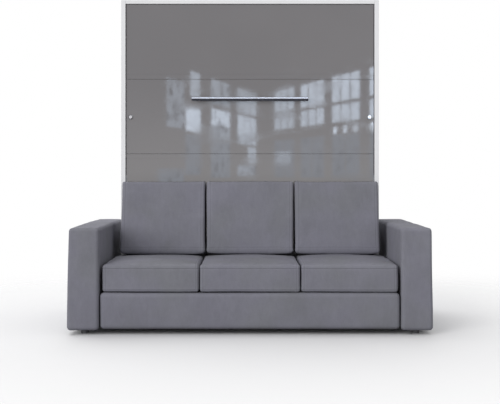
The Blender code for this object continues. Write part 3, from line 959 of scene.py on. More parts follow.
@dataclass
class StuffedBlock:
    """An upholstered or stuffed block with round edges, swollen faces and sewn seams.

    Attributes:
        name: The piece's name.
        body: The body it rides on.
        node: The frame's node that it stands for.
        centre: The middle of the block before its faces swell.
        size: Its sides before its faces swell.
        radius: The radius of its edges.
        crowns: How far each face swells, in the order of Face.
        seams: Its sewn lines.
        slot: Its finish.
        fill: How firmly it is stuffed, from 0 to 1; not used.
        lean: How far it leans back about the X axis through its centre.
        spacing: From one lattice line to the next.
        held: The face that lies on what carries it, if the cloth is simulated.
        wander: How far an upholsterer's hand lets the faces wander.
        tapers: How far its left and right sides draw in at their heads.
        foot_power: How full its lower half is towards the edges; 2 is a dome.
        moves: How far each point of its simulated cover moved, if the cloth is simulated.
        relief: What draws its surface in further, such as quilting.
        simulated_spacing: From one lattice line of the simulated cover to the next.
        slack: How much smaller the cover starts on every side.
        slack_crown_share: How much of the block's crowns the cover starts with.
        give: The share of the simulated form that the block takes on.
        most_stretch: How far a face may be scaled out to the solid's reach.
        taper_power: How late its sides start to draw in.
        pucker_depth: How deep the puckers beside a seam are.
        pucker_reach: How far from the seam they fade.
        puckers: The share, length and phase of each wave in them.
        drifts: The lengths of the waves in which its faces wander, the longest first.
        drift_power: How quickly the wandering gets less with shorter waves.
        stuffing: The settings of the simulated cloth.
    """

    name: str
    body: str
    node: str
    centre: Vector
    size: Vector
    radius: float
    crowns: tuple[float, ...]
    seams: list[Seam] = field(default_factory=list)
    slot: Slot = Slot.SOFA_CLOTH
    fill: float = 0.8
    lean: float = 0.0
    spacing: float = 0.018
    held: Face | None = None
    wander: float = 0.0006
    tapers: tuple[float, float] = (0.0, 0.0)
    foot_power: float = 2.0
    moves: np.ndarray | None = None
    relief: Callable[[bpy.types.Mesh, np.ndarray], np.ndarray] | None = None
    simulated_spacing: ClassVar[float] = 0.014
    slack: ClassVar[float] = 0.003
    slack_crown_share: ClassVar[float] = 0.35
    give: ClassVar[float] = 0.10
    most_stretch: ClassVar[float] = 1.6
    taper_power: ClassVar[float] = 1.6
    pucker_depth: ClassVar[float] = 0.00016
    pucker_reach: ClassVar[float] = 0.009
    puckers: ClassVar[tuple[tuple[float, float, float], ...]] = ((1.0, 0.0041, 0.0), (0.6, 0.0067, 1.3),
                                                                 (0.5, 0.0109, 0.4))
    drifts: ClassVar[tuple[float, ...]] = (0.55, 0.34, 0.21, 0.12)
    drift_power: ClassVar[float] = 0.7
    stuffing: ClassVar[dict[str, float]] = {
        "quality": 6, "mass": 0.4, "tension_stiffness": 22.0, "compression_stiffness": 12.0,
        "shear_stiffness": 8.0, "bending_stiffness": 0.4, "use_pressure": True,
        "uniform_pressure_force": 4.0}

    def lattice(self, spacing: float, seams: list[Seam], bends: int = 4) -> list[np.ndarray]:
        """Places across the block's three sides, fine in its round edges and at its seams.

        Args:
            spacing: From one lattice line to the next on the flat.
            seams: The seams that need fine lines beside them.
            bends: How many lines go round each edge, from the flat to its middle.

        Returns:
            The places along each axis, from the block's middle.
        """
        rows = []
        for axis in range(3):
            flat = self.size[axis] / 2 - self.radius
            count = max(2, round(2 * flat / spacing))
            row = list(np.linspace(-flat, flat, count + 1))
            bend = self.radius * np.tan(np.pi / 4 * np.arange(1, bends + 1) / bends)
            row += list(flat + bend) + list(-flat - bend)
            for seam in seams:
                if seam.face.axis == axis:
                    middle = seam.middle(self.size)
                    steps = [middle + share * seam.width for share in seam.line_widths]
                    row = [place for place in row if abs(place - middle) > seam.clear_widths * seam.width
                           or abs(abs(place) - self.size[axis] / 2) < MILLIMETRE]
                    row += [step for step in steps if abs(step) < self.size[axis] / 2 - MILLIMETRE / 2]
            rows.append(np.unique(np.round(row, 6)))
        return rows

    def cover_lattice(self) -> list[np.ndarray]:
        """The coarser lattice that the cover is simulated on."""
        return self.lattice(self.simulated_spacing, [], bends=2)

    def slack_form(self, places: list[np.ndarray], index: np.ndarray, slack: float,
                   crown_share: float) -> np.ndarray:
        """The block's points from its middle.

        Args:
            places: Places along each axis.
            index: The lattice index of each point.
            slack: How much smaller the block is on every side.
            crown_share: How much of its crowns it has.

        Returns:
            The points.
        """
        half = np.array(self.size) / 2
        raw = lattice_points(places, index)
        core = np.clip(raw, -(half - self.radius), half - self.radius)
        outward = raw - core
        outward /= np.linalg.norm(outward, axis=1, keepdims=True)
        points = core + outward * self.radius
        shares = points / half
        left = np.where(shares[:, 2:] < 0, swell_share(shares, self.foot_power), swell_share(shares))
        swell = np.zeros_like(points)
        for axis in range(3):
            first, second = OTHER_AXES[axis]
            crown = np.where(shares[:, axis] > 0, self.crowns[2 * axis + 1], self.crowns[2 * axis])
            swell[:, axis] = crown * crown_share * shares[:, axis] * left[:, first] * left[:, second]
        shrink = 1 - slack / half
        return points * shrink + swell

    def cover_form(self, places: list[np.ndarray], index: np.ndarray) -> np.ndarray:
        """The points of the cover before it is stuffed."""
        return self.slack_form(places, index, self.slack, self.slack_crown_share)

    def stuff(self) -> bpy.types.Object:
        """Makes the slack cover with a Cloth modifier that swells it.

        Returns:
            The cover, in the scene.
        """
        places = self.cover_lattice()
        index, faces = box_lattice(places)
        points = self.cover_form(places, index)
        cover = placed_mesh(self.name + "_cover", points.tolist(), faces.tolist())
        held = cover.vertex_groups.new(name="held")
        level = self.held.sign * points[:, self.held.axis]
        lying = np.nonzero(level > level.max() - 2 * MILLIMETRE)[0]
        held.add(lying.tolist(), 1.0, "REPLACE")
        cloth = cover.modifiers.new("stuffing", "CLOTH")
        for name, value in self.stuffing.items():
            setattr(cloth.settings, name, value)
        cloth.settings.vertex_group_mass = held.name
        cloth.settings.effector_weights.gravity = 0.0
        cloth.collision_settings.use_collision = False
        return cover

    def keep_moves(self, cover: bpy.types.Object, most: float) -> None:
        """Keeps how far each point of the stuffed cover moved, and removes the cover.

        Args:
            cover: The simulated cover.
            most: How far a point may move.
        """
        places = self.cover_lattice()
        index, _ = box_lattice(places)
        shown = cover.evaluated_get(bpy.context.evaluated_depsgraph_get())
        moved = np.zeros(len(index) * 3, np.float32)
        shown.data.vertices.foreach_get("co", moved)
        moves = moved.reshape(-1, 3) - self.cover_form(places, index)
        length = np.maximum(np.linalg.norm(moves, axis=1, keepdims=True), LEAST_LENGTH)
        moves *= most * np.tanh(length / most) / length
        self.moves = np.zeros([len(row) for row in places] + [3])
        self.moves[index[:, 0], index[:, 1], index[:, 2]] = moves
        bpy.data.objects.remove(cover)

    def carried_moves(self, places: list[np.ndarray], index: np.ndarray) -> np.ndarray:
        """The simulated moves at the points of a finer lattice.

        Args:
            places: The finer lattice's places along each axis.
            index: The lattice index of each of its points.

        Returns:
            How far each point moves.
        """
        coarse = self.cover_lattice()
        steps = []
        for axis in range(3):
            steps.append(np.interp(places[axis][index[:, axis]], coarse[axis], np.arange(len(coarse[axis]))))
        total = np.zeros((len(index), 3))
        for corner in range(8):
            weight = np.ones(len(index))
            picked = []
            for axis in range(3):
                low = np.minimum(np.floor(steps[axis]).astype(int), len(coarse[axis]) - 1)
                part = steps[axis] - low
                high = np.minimum(low + 1, len(coarse[axis]) - 1)
                upper = corner >> axis & 1
                weight = weight * (part if upper else 1 - part)
                picked.append(high if upper else low)
            total += weight[:, None] * self.moves[picked[0], picked[1], picked[2]]
        return total

    def fit(self, points: np.ndarray) -> np.ndarray:
        """Brings each swollen face to the reach of the frame's solid.

        Args:
            points: The points from the block's middle.

        Returns:
            The fitted points.
        """
        fitted = points.copy()
        for face in Face:
            axis, sign = face.axis, face.sign
            plane = self.size[axis] / 2 - self.slack
            reach = self.size[axis] / 2 + max(self.crowns[face.value], 0.0)
            beyond = sign * fitted[:, axis] - plane
            most = beyond.max()
            if most > 0:
                proud = beyond > 0
                scale = min((reach - plane) / most, self.most_stretch)
                fitted[proud, axis] = sign * (plane + beyond[proud] * scale)
        return fitted

    def sew(self, mesh: bpy.types.Mesh, places: list[np.ndarray], index: np.ndarray,
            points: np.ndarray) -> np.ndarray:
        """Draws the cloth in along the seams, puckers it beside them, and marks them on the mesh for the
        painted shade in their dips and the painted highlight on their lips.

        Args:
            mesh: The block's mesh.
            places: Places along each axis.
            index: The lattice index of each point.
            points: The points from the block's middle.

        Returns:
            The sewn points.
        """
        normals = np.zeros(len(index) * 3, np.float32)
        mesh.vertex_normals.foreach_get("vector", normals)
        normals = normals.reshape(-1, 3)
        raw = lattice_points(places, index)
        dips = np.zeros(len(index))
        lips = np.zeros(len(index))
        offset = self.drift(points)
        for seam in self.seams:
            axis = seam.face.axis
            away = raw[:, axis] - seam.middle(self.size)
            dip = seam.dip(away)
            lip = seam.lip(away)
            run = points.sum(1) - points[:, axis] * 2
            pucker = sum(share * np.sin(run / length + phase) for share, length, phase in self.puckers)
            offset += seam.depth * (seam.lip_share * lip - dip)
            offset += self.pucker_depth * pucker * np.exp(-np.abs(away) / self.pucker_reach)
            dips = np.maximum(dips, dip)
            lips = np.maximum(lips, lip)
        # The dip and lip marks let the cloth's material paint shade into the dips and a highlight onto the
        # lips.
        for name, values in (("seam_dip", dips), ("seam_lip", lips)):
            mesh.attributes.new(name, "FLOAT", "POINT").data.foreach_set("value", values.astype(np.float32))
        return points + normals * offset[:, None]

    def drift(self, points: np.ndarray) -> np.ndarray:
        """How far the upholstery wanders from its true form.

        Args:
            points: The points from the block's middle.

        Returns:
            How far it wanders at each point.
        """
        chance = np.random.RandomState(sum(map(ord, self.name)))
        total = np.zeros(len(points))
        for length in self.drifts:
            reach = self.wander * (length / self.drifts[0]) ** self.drift_power
            ways = chance.normal(size=(2, 3))
            ways /= np.linalg.norm(ways, axis=1, keepdims=True)
            phases = chance.uniform(0, 2 * math.pi, 2)
            for way, phase in zip(ways, phases):
                total += reach * np.sin(points @ way * 2 * math.pi / length + phase)
        return total

    def build(self, workshop: Workshop) -> None:
        """Makes the piece and puts it in the node's place.

        Args:
            workshop: Where the materials are.
        """
        places = self.lattice(self.spacing, self.seams)
        index, faces = box_lattice(places)
        points = self.slack_form(places, index, 0.0, 1.0)
        if self.moves is not None:
            stuffed = self.fit(self.cover_form(places, index) + self.carried_moves(places, index))
            points += (stuffed - points) * self.give
        share = points / (np.array(self.size) / 2)
        rise = np.clip((1 + share[:, 2]) / 2, 0, 1) ** self.taper_power
        for taper, sign in zip(self.tapers, (-1, 1)):
            points[:, 0] -= sign * taper * rise * np.clip(sign * share[:, 0], 0, 1) ** 2
        made = workshop.piece(self.name, points, faces, self.slot)
        points = self.sew(made.data, places, index, points)
        if self.relief is not None:
            points = self.relief(made.data, points)
        turn = Matrix.Rotation(-self.lean, 4, "X")
        made.data.vertices.foreach_set("co", points.astype(np.float32).ravel())
        made.data.transform(Matrix.Translation(self.centre) @ turn)
        made.data.update()
        smooth = made.modifiers.new("soft", "SUBSURF")
        smooth.levels = 1
        smooth.render_levels = 1
        workshop.attach(made, self.body, self.node)


def swell_covers(blocks: list[StuffedBlock], most: float) -> None:
    """Swells the covers of the loose cushions with Blender's cloth simulation.

    Args:
        blocks: The cushions.
        most: How far a point of a cover may move.
    """
    covers = [(block, block.stuff()) for block in blocks]
    for frame in range(1, SWELL_FRAMES + 1):
        bpy.context.scene.frame_set(frame)
    for block, cover in covers:
        block.keep_moves(cover, most)
    bpy.context.scene.frame_set(1)
    LOG.info("simulated the covers of %d cushions", len(blocks))


@dataclass
class Sofa:
    """The upholstery around the cabinet's foot: arms, base, back rail, seats and back cushions.

    Attributes:
        arm_radius: The radius of the arms' edges.
        arm_crown: How far the arms' outer sides and tops swell.
        arm_taper: How far the arms' outer sides draw in at their tops.
        arm_seam: How far the arms' seams lie from their front and rear.
        base_radius: The radius of the base's edges.
        base_crown: How far the base's front swells.
        base_seam: How far the base's seams lie from its sides.
        rail_radius: The radius of the back rail's edges.
        rail_seam: How far its seam lies from its top.
        rail_wander: How far its faces wander.
        seat_crowns: How far the seats' sides, front, rear, bottom and top swell.
        seat_bulge: How much further the two outer sides swell, towards the arms.
        seat_radius: The radius of the seats' edges.
        seat_seams: How far the seats' seams lie from their tops and bottoms.
        seat_stitch: How far their top-stitching lies from their sides.
        back_size: The back cushions' thickness and length.
        back_radius: The radius of their edges.
        back_crowns: How far their sides, front, rear, foot and head swell.
        back_taper: How far the two outer sides draw in at their heads.
        back_foot_power: How squarely the back cushions' feet meet the seats.
        back_seam: How far their seams lie from their front and rear.
        back_stitches: How far their top-stitching lies from their sides and from their feet.
        back_fill: How firmly they are stuffed.
        swell: How far a cushion's cover may move as it is stuffed.
        cushion_wander: How far the loose cushions' faces wander.
        fixed: The firm padding and coarser lattice of the pieces that aren't loose.
    """

    arm_radius: float = 0.022
    arm_crown: float = 0.0035
    arm_taper: float = 0.009
    arm_seam: float = 0.012
    base_radius: float = 0.025
    base_crown: float = 0.005
    base_seam: float = 0.010
    rail_radius: float = 0.010
    rail_seam: float = 0.012
    rail_wander: float = 0.0002
    seat_crowns: tuple[float, ...] = (0.0008, 0.0008, 0.004, 0.0, 0.004, 0.023)
    seat_bulge: float = 0.0145
    seat_radius: float = 0.016
    seat_seams: tuple[float, float] = (0.024, 0.012)
    seat_stitch: float = 0.020
    back_size: tuple[float, float] = (0.115, 0.480)
    back_radius: float = 0.015
    back_crowns: tuple[float, ...] = (-0.001, -0.001, 0.006, 0.004, 0.0161, -0.002)
    back_taper: float = 0.009
    back_foot_power: float = 9.0
    back_seam: float = 0.016
    back_stitches: tuple[float, float] = (0.026, 0.030)
    back_fill: float = 0.75
    swell: float = 0.024
    cushion_wander: float = 0.0009
    fixed: ClassVar[dict[str, float]] = {"fill": 0.95, "spacing": 0.03}

    def outer_only(self, place: str, amount: float) -> tuple[float, float]:
        """An amount for the left and the right side, given to the sofa's outer one alone."""
        return (amount if place == "left" else 0.0, amount if place == "right" else 0.0)

    def arm(self, side: str) -> StuffedBlock:
        """One block arm, with a sewn front and rear panel.

        Args:
            side: Which arm, left or right.

        Returns:
            The block.
        """
        low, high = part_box(f"sofa_arm_{side}")
        outer = Face.LEFT if side == "left" else Face.RIGHT
        crowns = tuple(self.arm_crown if face in (outer, Face.TOP) else 0.0 for face in Face)
        size = high - low
        size.x -= self.arm_crown
        size.z -= self.arm_crown
        centre = (low + high) / 2
        centre.x -= outer.sign * self.arm_crown / 2
        centre.z -= self.arm_crown / 2
        seams = [Seam(face, self.arm_seam) for face in (Face.FRONT, Face.REAR)]
        return StuffedBlock(f"arm_upholstery_{side}", FIXED_BODY, f"sofa_arm_{side}", centre, size,
                            self.arm_radius, crowns, seams, tapers=self.outer_only(side, self.arm_taper),
                            **self.fixed)

    def base(self) -> StuffedBlock:
        """The upholstered base between the arms.

        Returns:
            The block.
        """
        low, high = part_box("sofa_base")
        low.y += self.base_crown
        crowns = (0.0, 0.0, self.base_crown, 0.0, 0.0, 0.0)
        seams = [Seam(face, self.base_seam) for face in (Face.LEFT, Face.RIGHT)]
        return StuffedBlock("base_upholstery", FIXED_BODY, "sofa_base", (low + high) / 2, high - low,
                            self.base_radius, crowns, seams, **self.fixed)

    def back_rail(self) -> StuffedBlock:
        """The low rail behind the seats.

        Returns:
            The block.
        """
        low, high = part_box("sofa_back_rail")
        return StuffedBlock("back_rail_upholstery", FIXED_BODY, "sofa_back_rail", (low + high) / 2,
                            high - low, self.rail_radius, (0.0,) * len(Face),
                            [Seam(Face.TOP, self.rail_seam)], wander=self.rail_wander, **self.fixed)

    def seat(self, place: str) -> StuffedBlock:
        """One seat cushion: a top and a bottom panel sewn to a boxed border, and top-stitched.

        Args:
            place: Which cushion, left, middle or right.

        Returns:
            The block.
        """
        low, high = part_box(f"seat_cushion_{place}")
        high.z -= self.seat_crowns[Face.TOP.value]
        low.z += self.seat_crowns[Face.BOTTOM.value]
        low.y += self.seat_crowns[Face.FRONT.value]
        seams = [Seam(face, inset) for face, inset in zip((Face.TOP, Face.BOTTOM), self.seat_seams)]
        seams += [Seam.stitched(face, self.seat_stitch) for face in (Face.LEFT, Face.RIGHT)]
        bulges = self.outer_only(place, self.seat_bulge)
        sides = tuple(crown + bulge for crown, bulge in zip(self.seat_crowns, bulges))
        return StuffedBlock(f"seat_cover_{place}", FIXED_BODY, f"seat_cushion_{place}", (low + high) / 2,
                            high - low, self.seat_radius, sides + self.seat_crowns[2:], seams,
                            held=Face.BOTTOM, wander=self.cushion_wander)

    def back(self, place: str, joints: dict) -> StuffedBlock:
        """One back cushion, leaning back from the axis it folds on, top-stitched beside its edges.

        Args:
            place: Which cushion, left, middle or right.
            joints: The frame's joints by name.

        Returns:
            The block.
        """
        low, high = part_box(f"back_cushion_{place}")
        fold = joints[f"back_fold_{place}"]
        lean = math.radians(fold["range_deg"][1] - 90)
        size = Vector((high.x - low.x, *self.back_size))
        middle = Matrix.Rotation(-lean, 3, "X") @ Vector((0, size.y / 2, size.z / 2))
        beside, above_foot = self.back_stitches
        seams = [Seam.stitched(face, beside) for face in (Face.LEFT, Face.RIGHT)]
        seams += [Seam.stitched(Face.BOTTOM, above_foot)]
        seams += [Seam(face, self.back_seam) for face in (Face.FRONT, Face.REAR)]
        return StuffedBlock(f"back_cover_{place}", f"back_{place}", f"back_cushion_{place}",
                            Vector(fold["pos_m"]) + middle, size, self.back_radius, self.back_crowns, seams,
                            fill=self.back_fill, lean=lean, held=Face.REAR, wander=self.cushion_wander,
                            tapers=self.outer_only(place, self.back_taper), foot_power=self.back_foot_power)

    def build(self, workshop: Workshop) -> None:
        """Builds every upholstered piece.

        Args:
            workshop: Where the materials are.
        """
        joints = {joint["name"]: joint for joint in workshop.frame["joints"]}
        places = ("left", "middle", "right")
        loose = [self.seat(place) for place in places] + [self.back(place, joints) for place in places]
        swell_covers(loose, self.swell)
        fixed = [self.arm("left"), self.arm("right"), self.base(), self.back_rail()]
        for block in fixed + loose:
            block.build(workshop)


@dataclass
class Mattress:
    """The mattress, quilted on its sleeping side, and the two straps that hold it.

    Attributes:
        radius: The radius of its edges.
        crown: How far its sleeping side swells.
        seam: How far its seams lie from its faces.
        fill: How firmly it is stuffed.
        spacing: From one lattice line to the next.
        wander: How far its faces wander.
        quilt_depth: How far the quilting draws the cloth in.
        quilt_power: How full the pillows between the lines are; less is fuller.
        strap_thickness: The thickness of the webbing.
        strap_bend: The radius of the straps' bends.
        strap_play: The gap between the straps and the mattress's sides.
        bend_steps: The points round each bend.
    """

    radius: float = 0.030
    crown: float = 0.004
    seam: float = 0.022
    fill: float = 0.85
    spacing: float = 0.022
    wander: float = 0.0004
    quilt_depth: float = 0.005
    quilt_power: float = 0.6
    strap_thickness: float = 0.002
    strap_bend: float = 0.022
    strap_play: float = 0.3 * MILLIMETRE
    bend_steps: int = 7

    def quilted(self, mesh: bpy.types.Mesh, points: np.ndarray) -> np.ndarray:
        """Draws the sleeping side in along its quilting lines.

        Args:
            mesh: The mattress's mesh.
            points: Its points from its middle.

        Returns:
            The quilted points.
        """
        low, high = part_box("mattress")
        middle = (low + high) / 2
        across = points[:, 0] + middle.x
        along = points[:, 2] + middle.z
        pillow = np.ones(len(points))
        for way in (across + along, across - along):
            pillow = pillow * np.abs(np.sin(way * math.pi / QUILT_PITCH)) ** self.quilt_power
        half = (high - low) / 2
        inside = np.minimum(half.x - np.abs(points[:, 0]), half.z - np.abs(points[:, 2]))
        sleeping_side = points[:, 1] > half.y - 2 * self.radius / 3
        share = np.clip((inside - self.radius) / self.radius, 0, 1) * sleeping_side
        mesh.attributes.new("quilted", "FLOAT", "POINT").data.foreach_set("value", share.astype(np.float32))
        quilted = points.copy()
        quilted[:, 1] -= self.quilt_depth * share * (1 - pillow)
        return quilted

    def build(self, workshop: Workshop) -> None:
        """Builds the mattress and its straps.

        Args:
            workshop: Where the materials are.
        """
        low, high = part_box("mattress")
        high.y -= self.crown
        crowns = (0.0, 0.0, 0.0, self.crown, 0.0, 0.0)
        seams = [Seam(face, self.seam) for face in (Face.FRONT, Face.REAR)]
        StuffedBlock("mattress_cover", "bed", "mattress", (low + high) / 2, high - low, self.radius,
                     crowns, seams, Slot.TICKING, fill=self.fill, spacing=self.spacing,
                     wander=self.wander, relief=self.quilted).build(workshop)
        for place in ("head", "foot"):
            self.strap(workshop, place)

    def strap(self, workshop: Workshop, place: str) -> None:
        """Builds one strap from rail to rail across the mattress.

        Args:
            workshop: Where the materials are.
            place: The end of the bed it is nearer to.
        """
        low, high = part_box(f"mattress_strap_{place}")
        mattress_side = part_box("mattress")[1].x
        side = mattress_side + self.strap_thickness / 2 + self.strap_play
        back = high.y - self.strap_thickness / 2
        foot = low.y + self.strap_thickness / 2
        path = [(low.x, foot), (-side, foot)]
        for sign, start in ((-1, math.pi), (1, math.pi / 2)):
            for turn in np.linspace(start, start - math.pi / 2, self.bend_steps):
                path.append((sign * (side - self.strap_bend) + self.strap_bend * math.cos(turn),
                             back - self.strap_bend + self.strap_bend * math.sin(turn)))
        path += [(side, foot), (high.x, foot)]
        made = self.band(workshop, f"strap_{place}", path, low.z, high.z)
        workshop.attach(made, "bed", f"mattress_strap_{place}")

    def band(self, workshop: Workshop, name: str, path: list[tuple[float, float]], low_z: float,
             high_z: float) -> bpy.types.Object:
        """Makes a flat band along a path in the XY plane.

        Args:
            workshop: Where the materials are.
            name: The band's name.
            path: Its middle line.
            low_z: Its lower edge.
            high_z: Its upper edge.

        Returns:
            The band.
        """
        line = np.array(path)
        runs = np.gradient(line, axis=0)
        runs /= np.linalg.norm(runs, axis=1, keepdims=True)
        beside = np.stack([-runs[:, 1], runs[:, 0]], 1) * self.strap_thickness / 2
        edge = self.strap_thickness / 3
        section = [(-1, low_z + edge), (-0.5, low_z), (0.5, low_z), (1, low_z + edge), (1, high_z - edge),
                   (0.5, high_z), (-0.5, high_z), (-1, high_z - edge)]
        points = [[*(place + side * share), z] for place, side in zip(line, beside) for share, z in section]
        count = len(section)
        faces = []
        for step in range(len(line) - 1):
            for corner in range(count):
                after = (corner + 1) % count
                faces.append((step * count + corner, step * count + after, (step + 1) * count + after,
                              (step + 1) * count + corner))
        faces.append(tuple(reversed(range(count))))
        faces.append(tuple((len(line) - 1) * count + corner for corner in range(count)))
        return workshop.piece(name, np.array(points), faces, Slot.WEBBING, smooth=False)


@dataclass(frozen=True)
class Lamp:
    """A wide soft lamp.

    Attributes:
        name: Its name.
        light: How much light it throws on a face turned to it.
        way: Where its light comes from.
        spread: The angle in degrees under which it is seen.
    """

    name: str
    light: float
    way: tuple[float, float, float]
    spread: float


@dataclass
class Studio:
    """Camera, lamps, world and floor.

    Attributes:
        image: The picture's width and height in pixels.
        focal_pixels: The focal length in pixels.
        sensor: The camera sensor's width in millimetres.
        camera_y: Where the camera stands.
        eye_height: How high it is.
        horizon_pixel: The horizon's row in the picture.
        ambient: The world's light on the object.
        lamps: The wide soft lamps.
        floor_colour: The floor's own colour.
        floor_bounce: How much of that colour it throws back on the object.
        floor_fade: The distances where the floor starts and ends to fade into the background.
        floor_reach: How many times as far as its fading the floor reaches.
        floor_sides: How many sides its round has.
        floor_roughness: Its roughness.
        floor_specular: How strongly it mirrors.
    """

    image: tuple[int, int] = (500, 404)
    focal_pixels: float = 1042.6
    sensor: float = 36.0
    camera_y: float = -7.03
    eye_height: float = 1.005
    horizon_pixel: float = 171.6
    ambient: float = 0.71
    lamps: tuple[Lamp, ...] = (Lamp("key_light", 0.52, (-0.60, -0.72, 0.32), 35.0),
                               Lamp("top_light", 0.40, (-0.25, 0.50, 0.83), 50.0))
    floor_colour: Colour = (0.755, 0.755, 0.765)
    floor_bounce: float = 0.35
    floor_fade: tuple[float, float] = (0.9, 4.2)
    floor_reach: float = 2.4
    floor_sides: int = 96
    floor_roughness: float = 0.7
    floor_specular: float = 0.1

    def build(self) -> None:
        """Builds the whole studio."""
        bpy.context.scene.view_settings.view_transform = "Standard"
        self.camera()
        for lamp in self.lamps:
            self.light(lamp)
        self.world()
        self.floor()
        Hall(self.eye_height).build()

    def camera(self) -> None:
        """Sets the camera level at the photograph's viewpoint."""
        lens = bpy.data.cameras.new("camera")
        lens.sensor_width = self.sensor
        lens.lens = self.focal_pixels * self.sensor / self.image[0]
        lens.shift_y = (self.horizon_pixel - self.image[1] / 2) / self.image[0]
        camera = placed("camera", lens)
        camera.location = (0.0, self.camera_y, self.eye_height)
        camera.rotation_euler = (math.pi / 2, 0.0, 0.0)
        bpy.context.scene.camera = camera

    def light(self, lamp: Lamp) -> None:
        """Adds one lamp.

        Args:
            lamp: The lamp.
        """
        sun = bpy.data.lights.new(lamp.name, "SUN")
        sun.energy = lamp.light * math.pi
        sun.angle = math.radians(lamp.spread)
        placed(lamp.name, sun).rotation_euler = Vector(lamp.way).to_track_quat("Z", "Y").to_euler()

    def world(self) -> None:
        """Even light on the object, before a white background."""
        world = bpy.data.worlds.new("studio")
        bpy.context.scene.world = world
        world.use_nodes = True
        tree = ShaderTree(world.node_tree)
        tree.nodes.clear()
        light, white = [tree.node("ShaderNodeBackground", None, {"Color": rgba(WHITE), "Strength": strength})
                        for strength in (self.ambient, 1.0)]
        mixed = tree.blend(tree.rays("Camera", "Glossy", "Transmission"), light, white)
        tree.node("ShaderNodeOutputWorld", None, {"Surface": mixed.outputs[0]})

    def floor(self) -> None:
        """A pale round floor that fades into the background and keeps the object's shadow."""
        reach = self.floor_fade[1] * self.floor_reach
        turns = [2 * math.pi * step / self.floor_sides for step in range(self.floor_sides)]
        points = [(reach * math.cos(turn), reach * math.sin(turn), 0.0) for turn in turns]
        floor = placed_mesh("floor", points, [list(range(self.floor_sides))])
        material, tree = new_material("floor")
        floor.data.materials.append(material)
        bounced = shaded(self.floor_colour, self.floor_bounce)
        tree.dress({"Base Color": tree.mix(tree.rays("Camera", "Glossy"), bounced, self.floor_colour),
                    "Roughness": self.floor_roughness, "Specular IOR Level": self.floor_specular})
        distance = tree.node("ShaderNodeVectorMath", {"operation": "LENGTH"}, {0: tree.place()})
        fade = Signal(tree, distance.outputs["Value"]).ramp(*self.floor_fade)
        clear = tree.node("ShaderNodeBsdfTransparent")
        tree.surface(tree.blend(fade, tree.nodes["Principled BSDF"], clear))


@dataclass(frozen=True)
class Pane:
    """A bright field on a wall of the hall.

    Attributes:
        start: Where it starts along the wall.
        width: Its width.
        low: Its lower edge, above eye height.
        high: Its upper edge, above eye height.
        glow: How bright it is, as a share of the clearest window.
        columns: How many panes the bars part it into.
        leaves: How much of its light trees outside keep back.
    """

    start: float
    width: float
    low: float
    high: float
    glow: float
    columns: int = 1
    leaves: float = 0.2


@dataclass(frozen=True)
class HallWall:
    """A wall of the hall behind the camera, with its windows.

    Attributes:
        origin: Its far end, seen from above.
        way: The direction it runs from there.
        panes: The bright fields on it.
    """

    origin: tuple[float, float]
    way: tuple[float, float]
    panes: tuple[Pane, ...]


